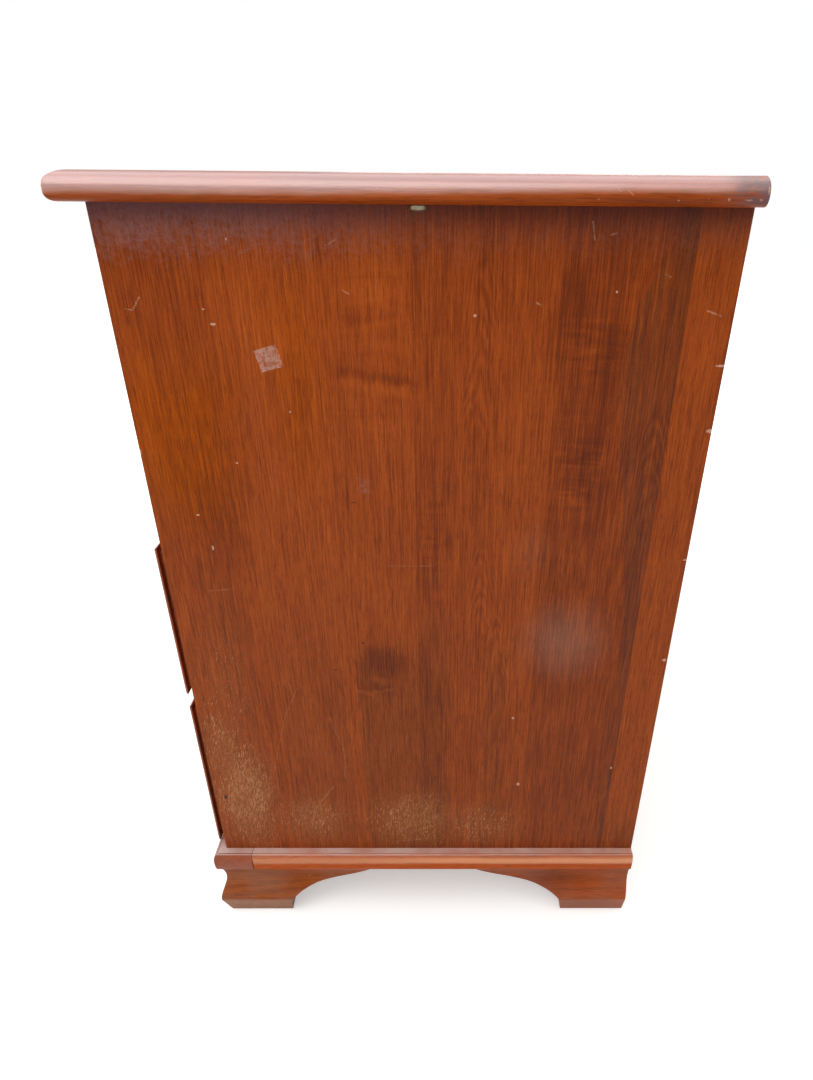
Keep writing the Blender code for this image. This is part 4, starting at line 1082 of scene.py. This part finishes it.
def makeRearFoot(size, side, label):
    run = line((0.0, 0.0), (size["rearToe"], 0.0), 6)[:-1] + scrollRoute(size, size["rearToe"], size["rearTip"])
    work = bmesh.new()
    loft(work, [[(side * (halfCase + out), caseBack - away, up) for out, up in footSection(size, bottom)]
                for away, bottom in run])
    addPiece(f"rearFoot{label}", work, "foot", "case", (f"rear_foot_{label.lower()}",), smooth=30.0)
    toe, back, ease = size["rearBracketToe"], caseBack - 0.001, 0.0006
    front = back - size["rearBracketThickness"]
    rings = []
    for away, bottom in [(0.0, 0.0), (toe / 2, 0.0)] + scrollRoute(size, toe, size["rearBracketTip"]):
        x = side * (halfCase - size["wallInset"] - away)
        rings.append([(x, y, z) for y, z in ((front, bottom), (back - 0.0005, bottom), (back, bottom + ease),
                                             (back, footTop - ease), (back - ease, footTop), (front, footTop))])
    work = bmesh.new()
    loft(work, rings)
    addPiece(f"rearBracket{label}", work, "block", "case")


for _, label, side in sides:
    makeFrontFoot(footSet, side, label)
    makeGlueBlock(footSet, side, label)
    makeRearFoot(footSet, side, label)
print("feet made")


# ---- case, rails and drawers: eased copies of the solids

underTop, overLedge = (panelHigh.z, topLow.z), (panelLow.z, ledgeHeight)
easedCopy("rightSidePanel", "side_panel_right", "rightSide", ease=0.0009, seats=(underTop, overLedge))
easedCopy("leftSidePanel", "side_panel_left", "leftSide", ease=0.0009, seats=(underTop, overLedge))
easedCopy("topRail", "top_rail", "rail", seats=(underTop,))
easedCopy("bottomRail", "bottom_rail", "rail")
easedCopy("backPanel", "back_panel", "back", ease=0.0003)
easedCopy("caseBottom", "case_bottom", "dustPanel", ease=0.0004)
easedCopy("baseBack", "base_back", "dustPanel")
for number in (1, 2, 3):
    easedCopy(f"dividerRail{number}", f"divider_rail_{number}", "rail")
    easedCopy(f"dustPanel{number}", f"dust_panel_{number}", "dustPanel", ease=0.0003)
for number in drawers:
    body = f"drawer_{number}"
    # The rounded lip's slanting faces take the worn colour: partly wear, partly a painted highlight
    easedCopy(f"drawer{number}Front", f"{body}_front", "front", body, ease=0.0, smooth=28.0, rubbed=True)
    for name, part, finish, ease in (
            ("SideLeft", "side_left", "alongDrawer", 0.0), ("SideRight", "side_right", "alongDrawer", 0.0),
            ("Back", "back", "acrossDrawer", 0.0), ("Bottom", "bottom", "acrossDrawer", 0.0003)):
        easedCopy(f"drawer{number}{name}", f"{body}_{part}", finish, body, ease)
print("case and drawers made")


# ---- pulls

pullSet = {
    "plateThickness": 0.0018,
    "bevel": 0.0007,
    "postSpacing": 0.070,
    "standOff": 0.0125,
    "headRadius": 0.0050,
    "neckRadius": 0.0034,
    "footRadius": 0.0056,
    "bailRadius": 0.0020,
    "bailMiddleRadius": 0.0031,
    "bailDrop": 0.031,
    "shoulder": 0.0040,
    # The post's turned profile, from the plate to its neck, as (radius, share of it, reach)
    "post": (("footRadius", 0.9, -0.0003), ("footRadius", 1.0, 0.0004), ("footRadius", 1.0, 0.0011),
             ("footRadius", 0.86, 0.0016), ("neckRadius", 1.05, 0.0022), ("neckRadius", 0.88, 0.0040),
             ("neckRadius", 1.0, 0.0058), ("neckRadius", 1.18, 0.0064), ("neckRadius", 1.18, 0.0071),
             ("neckRadius", 1.02, 0.0077)),
    "outline": ((0.0, 1.0), (0.10, 0.94), (0.17, 0.74), (0.27, 0.66), (0.36, 0.76), (0.48, 0.86), (0.62, 0.83),
                (0.71, 0.66), (0.70, 0.46), (0.80, 0.34), (0.93, 0.25), (1.0, 0.02), (0.92, -0.20), (0.79, -0.27),
                (0.69, -0.38), (0.70, -0.60), (0.58, -0.77), (0.42, -0.79), (0.31, -0.64), (0.19, -0.70),
                (0.11, -0.92), (0.0, -1.0)),
}


def insetOutline(points, distance):
    result = []
    count = len(points)
    for number, (x, z) in enumerate(points):
        before, after = points[number - 1], points[(number + 1) % count]
        way = Vector((after[0] - before[0], after[1] - before[1])).normalized()
        result.append((x - way.y * -distance, z + way.x * -distance))
    return result


def turnedRings(profile, place, steps):
    # Rings round a post that stands out along -Y, with the profile as (radius, reach).
    return [[(place[0] + across, place[1] - reach, place[2] + up) for across, up in circle(radius, steps)]
            for radius, reach in profile]


def makePull(size, number, side, label):
    low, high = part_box(f"pull_{number}_{side}")
    halfWide, halfHigh = (high.x - low.x) / 2, (high.z - low.z) / 2
    centreX, centreZ, backY = (low.x + high.x) / 2, (low.z + high.z) / 2, high.y
    frontY = backY + 0.0003 - size["plateThickness"]
    right = [(halfWide * a, halfHigh * b) for a, b in size["outline"]]
    both = right + [(-a, b) for a, b in reversed(right[1:-1])]
    outline = smoothRoute(both, 3, closed=True)
    outline = [(min(max(a, -halfWide), halfWide), min(max(b, -halfHigh), halfHigh)) for a, b in outline]
    inner = insetOutline(outline, size["bevel"])
    work = bmesh.new()
    rings = [[(centreX + a, y, centreZ + b) for a, b in ring]
             for ring, y in ((inner, backY), (outline, backY - 0.0004), (outline, frontY + 0.0006), (inner, frontY))]
    loft(work, rings)
    for post in (-1, 1):
        place = (centreX + post * size["postSpacing"] / 2, frontY, centreZ)
        out = size["standOff"] - 0.0001
        profile = [(size[part] * share, reach) for part, share, reach in size["post"]]
        head = size["headRadius"]
        profile += [(head * math.sin(angle), out - head * math.cos(angle))
                    for angle in (math.radians(a) for a in range(44, 171, 14))]
        profile += [(0.0006, out + head)]
        loft(work, turnedRings(profile, place, 28))
    addPiece(f"pull{number}{label}", work, "brass", f"drawer_{number}", (f"pull_{number}_{side}",), 35.0)


def makeBail(size, number, side, label):
    low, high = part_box(f"bail_{number}_{side}")
    centreX, centreY = (low.x + high.x) / 2, (low.y + high.y) / 2
    pivotZ = high.z - size["bailRadius"]
    legX = (high.x - low.x) / 2 - size["bailRadius"]
    drop, shoulder = size["bailDrop"], size["shoulder"]
    half = [(size["postSpacing"] / 2 - 0.002, 0.0), (size["postSpacing"] / 2 + 0.003, 0.0)]
    half += [(legX - shoulder * 0.3, -shoulder * 0.3), (legX, -shoulder)]
    for step in range(1, 9):
        angle = step / 8 * math.pi / 2
        half.append((legX * math.cos(angle) ** 0.55, -shoulder - (drop - shoulder) * math.sin(angle) ** 1.2))
    half[-1] = (0.0, -drop)
    route = half + [(-a, b) for a, b in reversed(half[:-1])]
    route = smoothRoute(route, 4)
    rings = []
    for place, (a, b) in enumerate(route):
        before, after = route[max(place - 1, 0)], route[min(place + 1, len(route) - 1)]
        way = Vector((after[0] - before[0], 0.0, after[1] - before[1])).normalized()
        beside = way.cross(Vector((0, 1, 0)))
        swell = max(0.0, 1.0 - (a / (legX * 0.72)) ** 2) if b < -drop * 0.4 else 0.0
        radius = size["bailRadius"] + (size["bailMiddleRadius"] - size["bailRadius"]) * swell
        for ring in (0.30, 0.36):  # a pair of turned rings on each side of the middle
            if b < -drop * 0.4 and abs(abs(a) / legX - ring) < 0.022:
                radius *= 1.16
        centre = Vector((centreX + a, centreY, pivotZ + b + max(0.0, radius - size["bailRadius"])))
        rings.append([tuple(centre + beside * across + Vector((0, up, 0))) for across, up in circle(radius, 16)])
    work = bmesh.new()
    loft(work, rings)
    body, node = f"handle_{number}_{side}", f"bail_{number}_{side}"
    addPiece(f"bail{number}{label}", work, "bailBrass", body, (node,), 40.0)


for number in drawers:
    for side, label, _ in sides:
        makePull(pullSet, number, side, label)
        makeBail(pullSet, number, side, label)
print("pulls made")


# ---- fasteners, screws, nails and nuts

hardwareSet = {
    # Turned parts as (radius, sides, rings), each ring as (share of the radius, height)
    "screw": ((0.0040, 20, ((1.0, -0.0004), (1.0, 0.0003), (0.86, 0.0008), (0.55, 0.0012), (0.12, 0.0014))),),
    "nail": ((0.0016, 12, ((1.0, -0.0003), (1.0, 0.0002), (0.8, 0.0005), (0.2, 0.0006))),),
    "nut": ((0.0042, 6, ((1.0, 0.0), (1.0, 0.0023), (0.9, 0.0026))),
            (0.0021, 14, ((1.0, 0.0013), (1.0, 0.0056), (0.75, 0.0060)))),
    "slotShare": 0.17,
    "turnSeed": 7,
    # Rows of nails round the back panel: how many, and how far in from its sides, ends, foot and head
    "sideNails": 8,
    "edgeNails": 9,
    "nailInsets": (0.005, 0.012, 0.006, 0.008),
    "dustNails": (-0.32, -0.16, 0.0, 0.16, 0.32),
    "drawerNails": (-0.27, 0.0, 0.27),
    "backScrews": (-0.26, 0.0, 0.26),
    "frontScrews": (-0.2, 0.0, 0.2),
    "sideScrews": (-0.03, 0.05),
    "screwInsets": (0.030, 0.016),
    "fastenerScrewInset": 0.0068,
}


def makeFastener(side, label, sign):
    # A figure-eight plate; its outer half shows under the top.
    low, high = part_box(f"top_fastener_{side}")
    middleY = (low.y + high.y) / 2
    radius = (high.y - low.y) / 2
    inner = min(abs(low.x), abs(high.x)) + radius
    outer = max(abs(low.x), abs(high.x)) - radius
    outline = []
    waist = math.asin(0.0025 / radius)
    for centre, start in ((outer, -math.pi), (inner, 0.0)):
        for step in range(25):
            angle = start + waist + (2 * math.pi - 2 * waist) * step / 24
            outline.append((centre + radius * math.cos(angle), radius * math.sin(angle)))
    small = insetOutline(outline, -0.00035)
    work = bmesh.new()
    loft(work, [[(sign * a, middleY + b, z) for a, b in ring] for ring, z in (
        (small, low.z), (outline, low.z + 0.0004), (outline, high.z - 0.0004), (small, high.z))])
    addPiece(f"topFastener{label}", work, "zinc", "case", (f"top_fastener_{side}",), 35.0)


for side in sides:
    makeFastener(*side)


def makeTemplate(size, kind):
    # One screw, nail or nut that stands on z = 0.
    work = bmesh.new()
    for radius, count, rings in size[kind]:
        loft(work, [[(x, y, height) for x, y in circle(radius * share, count)] for share, height in rings])
    for vert in work.verts:  # the slot is pressed in across the middle
        if kind == "screw" and abs(vert.co.y) < size[kind][0][0] * size["slotShare"] and vert.co.z > 0.0005:
            vert.co.z = 0.0001
    bmesh.ops.recalc_face_normals(work, faces=work.faces)
    return newObject(kind + "Template", newMesh(kind + "Template", work))


def placingTree():
    # One template on every point, turned at random about its own axis and faced one way.
    tree = bpy.data.node_groups.new("placeHardware", "GeometryNodeTree")
    tree.interface.new_socket(name="Geometry", in_out="INPUT", socket_type="NodeSocketGeometry")
    inputs = {}
    for label, kind in (("Template", "NodeSocketObject"), ("Facing", "NodeSocketVector"), ("Seed", "NodeSocketInt"),
                        ("Finish", "NodeSocketMaterial")):
        inputs[label] = tree.interface.new_socket(name=label, in_out="INPUT", socket_type=kind).identifier
    tree.interface.new_socket(name="Geometry", in_out="OUTPUT", socket_type="NodeSocketGeometry")
    t = Tree(tree)
    given = t.node("NodeGroupInput").outputs
    info = t.node("GeometryNodeObjectInfo", {"Object": given["Template"]}, transform_space="ORIGINAL")
    spin = t.node("FunctionNodeRandomValue", {"Min": -3.14, "Max": 3.14, "Seed": given["Seed"]}, data_type="FLOAT")
    placed = {"Points": given["Geometry"], "Instance": info.outputs["Geometry"], "Rotation": given["Facing"]}
    turn = t.join(0.0, 0.0, spin.outputs["Value"])
    made = t.out("GeometryNodeInstanceOnPoints", placed)
    made = t.out("GeometryNodeRotateInstances", {"Instances": made, "Rotation": turn})
    made = t.out("GeometryNodeRealizeInstances", {0: made})
    made = t.out("GeometryNodeSetMaterial", {"Geometry": made, "Material": given["Finish"]})
    t.node("NodeGroupOutput", {0: made})
    return tree, inputs


hardwareTree, hardwareInputs = placingTree()
templates = {kind: makeTemplate(hardwareSet, kind) for kind in ("screw", "nail", "nut")}
facings = {"down": (math.pi, 0, 0), "back": (-math.pi / 2, 0, 0)}


def setHardware(name, kind, points, facing, body="case"):
    mesh = bpy.data.meshes.new(name + "Points")
    mesh.from_pydata(points, [], [])
    holder = newObject(name + "Points", mesh)
    placing = holder.modifiers.new("placing", "NODES")
    placing.node_group = hardwareTree
    for label, value in (("Template", templates[kind]), ("Facing", facings[facing]), ("Finish", finishes["steel"]),
                         ("Seed", hardwareSet["turnSeed"] + len(points))):
        placing[hardwareInputs[label]] = value
    bpy.context.view_layer.update()
    graph = bpy.context.evaluated_depsgraph_get()
    made = bpy.data.meshes.new_from_object(holder.evaluated_get(graph))
    bpy.data.objects.remove(holder, do_unlink=True)
    finishPiece(name, made, "steel", body, (), 35.0)


low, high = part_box("back_panel")
backFace = high.y - 0.0007
inset, end, foot, head = hardwareSet["nailInsets"]
nailSpots = [(side * (high.x - inset), backFace, z)
             for z, in line((low.z + end,), (high.z - end,), hardwareSet["sideNails"]) for side in (-1, 1)]
nailSpots += [(x, backFace, z) for x, in line((-high.x,), (high.x,), hardwareSet["edgeNails"])[1:-1]
              for z in (low.z + foot, high.z - head)]
for number in (1, 2, 3):
    low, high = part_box(f"dust_panel_{number}")
    nailSpots += [(x, backFace, (low.z + high.z) / 2) for x in hardwareSet["dustNails"]]
setHardware("backNails", "nail", nailSpots, "back")

low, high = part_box("base_back")
sideInset, frontInset = hardwareSet["screwInsets"]
screwSpots = [(x, (low.y + high.y) / 2, footHeight) for x in hardwareSet["backScrews"]]
screwSpots += [(side * (halfCase - sideInset), y, footHeight) for side in (-1, 1) for y in hardwareSet["sideScrews"]]
screwSpots += [(x, caseFront + frontInset, footHeight) for x in hardwareSet["frontScrews"]]
low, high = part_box("top_fastener_right")
screwSpots += [(side * (high.x - hardwareSet["fastenerScrewInset"]), (low.y + high.y) / 2, low.z + 0.0003)
               for side in (-1, 1)]
setHardware("frameScrews", "screw", screwSpots, "down")

for number in drawers:
    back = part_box(f"drawer_{number}_front")[1].y
    low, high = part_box(f"pull_{number}_right")
    nutSpots = [(side * (low.x + high.x) / 2 + post * pullSet["postSpacing"] / 2, back, (low.z + high.z) / 2)
                for side in (-1, 1) for post in (-1, 1)]
    setHardware(f"drawer{number}Nuts", "nut", nutSpots, "back", f"drawer_{number}")
    low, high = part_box(f"drawer_{number}_bottom")
    nailSpots = [(x, high.y - inset, low.z) for x in hardwareSet["drawerNails"]]
    setHardware(f"drawer{number}Nails", "nail", nailSpots, "down", f"drawer_{number}")
for template in templates.values():
    bpy.data.objects.remove(template, do_unlink=True)
print("hardware made")


# ---- floor, light and background

studioSet = {
    "floorColour": (0.82, 0.82, 0.81, 1.0),
    "worldLight": 0.42,
    "floorGlow": 0.42,
    # Each lamp's place, what it looks at, its width and height in metres and its power in watts
    "lamps": {
        "highSoftbox": ((1.35, -0.55, 2.35), (0.43, -0.1, 0.75), 2.2, 1.8, 40.0),
        "overheadSoftbox": ((-0.4, 0.0, 2.5), (-0.3, 0, 0.7), 2.6, 1.8, 18.0),
        "frontFill": ((-1.0, -2.6, 1.3), (0, 0, 0.4), 2.0, 1.6, 20.0),
        "leftFill": ((-2.4, 0.4, 1.3), (0, 0, 0.4), 1.6, 1.6, 14.0),
        "backFill": ((-0.4, 2.6, 1.3), (0, 0, 0.4), 2.0, 1.6, 14.0),
    },
}


def makeFloor(size):
    work = bmesh.new()
    bmesh.ops.create_grid(work, x_segments=1, y_segments=1, size=14.0)
    mesh = newMesh("studioFloor", work)
    floor = newObject("studioFloor", mesh)
    floor.location.z = -0.0005
    material, t, shader = newMaterial("studioFloor")
    far = t.between(t.vector("LENGTH", t.place()), 0.9, 2.4, size["floorGlow"], 1.0)
    t.wire(shader, {"Base Color": size["floorColour"], "Roughness": 0.9, "Specular IOR Level": 0.0,
                    "Emission Color": (1, 1, 1, 1), "Emission Strength": t.seen() * far})
    mesh.materials.append(material)


def makeWorld(size):
    world = bpy.data.worlds.new("studioWorld")
    scene.world = world
    world.use_nodes = True
    t = Tree(world.node_tree)
    strength = t.between(t.seen(), 0.0, 1.0, size["worldLight"], 1.0, kind="LINEAR")
    t.wire(t.tree.nodes["Background"], {"Color": (1, 1, 1, 1), "Strength": strength})


def makeLamp(name, place, target, wide, high, power):
    data = bpy.data.lights.new(name, "AREA")
    data.shape = "RECTANGLE"
    data.size, data.size_y = wide, high
    data.energy = power
    lamp = newObject(name, data)
    lamp.location = place
    lamp.rotation_mode = "QUATERNION"
    lamp.rotation_quaternion = (Vector(target) - Vector(place)).to_track_quat("-Z", "Y")


makeFloor(studioSet)
makeWorld(studioSet)
for name, lamp in studioSet["lamps"].items():
    makeLamp(name, *lamp)

print("scene ready")
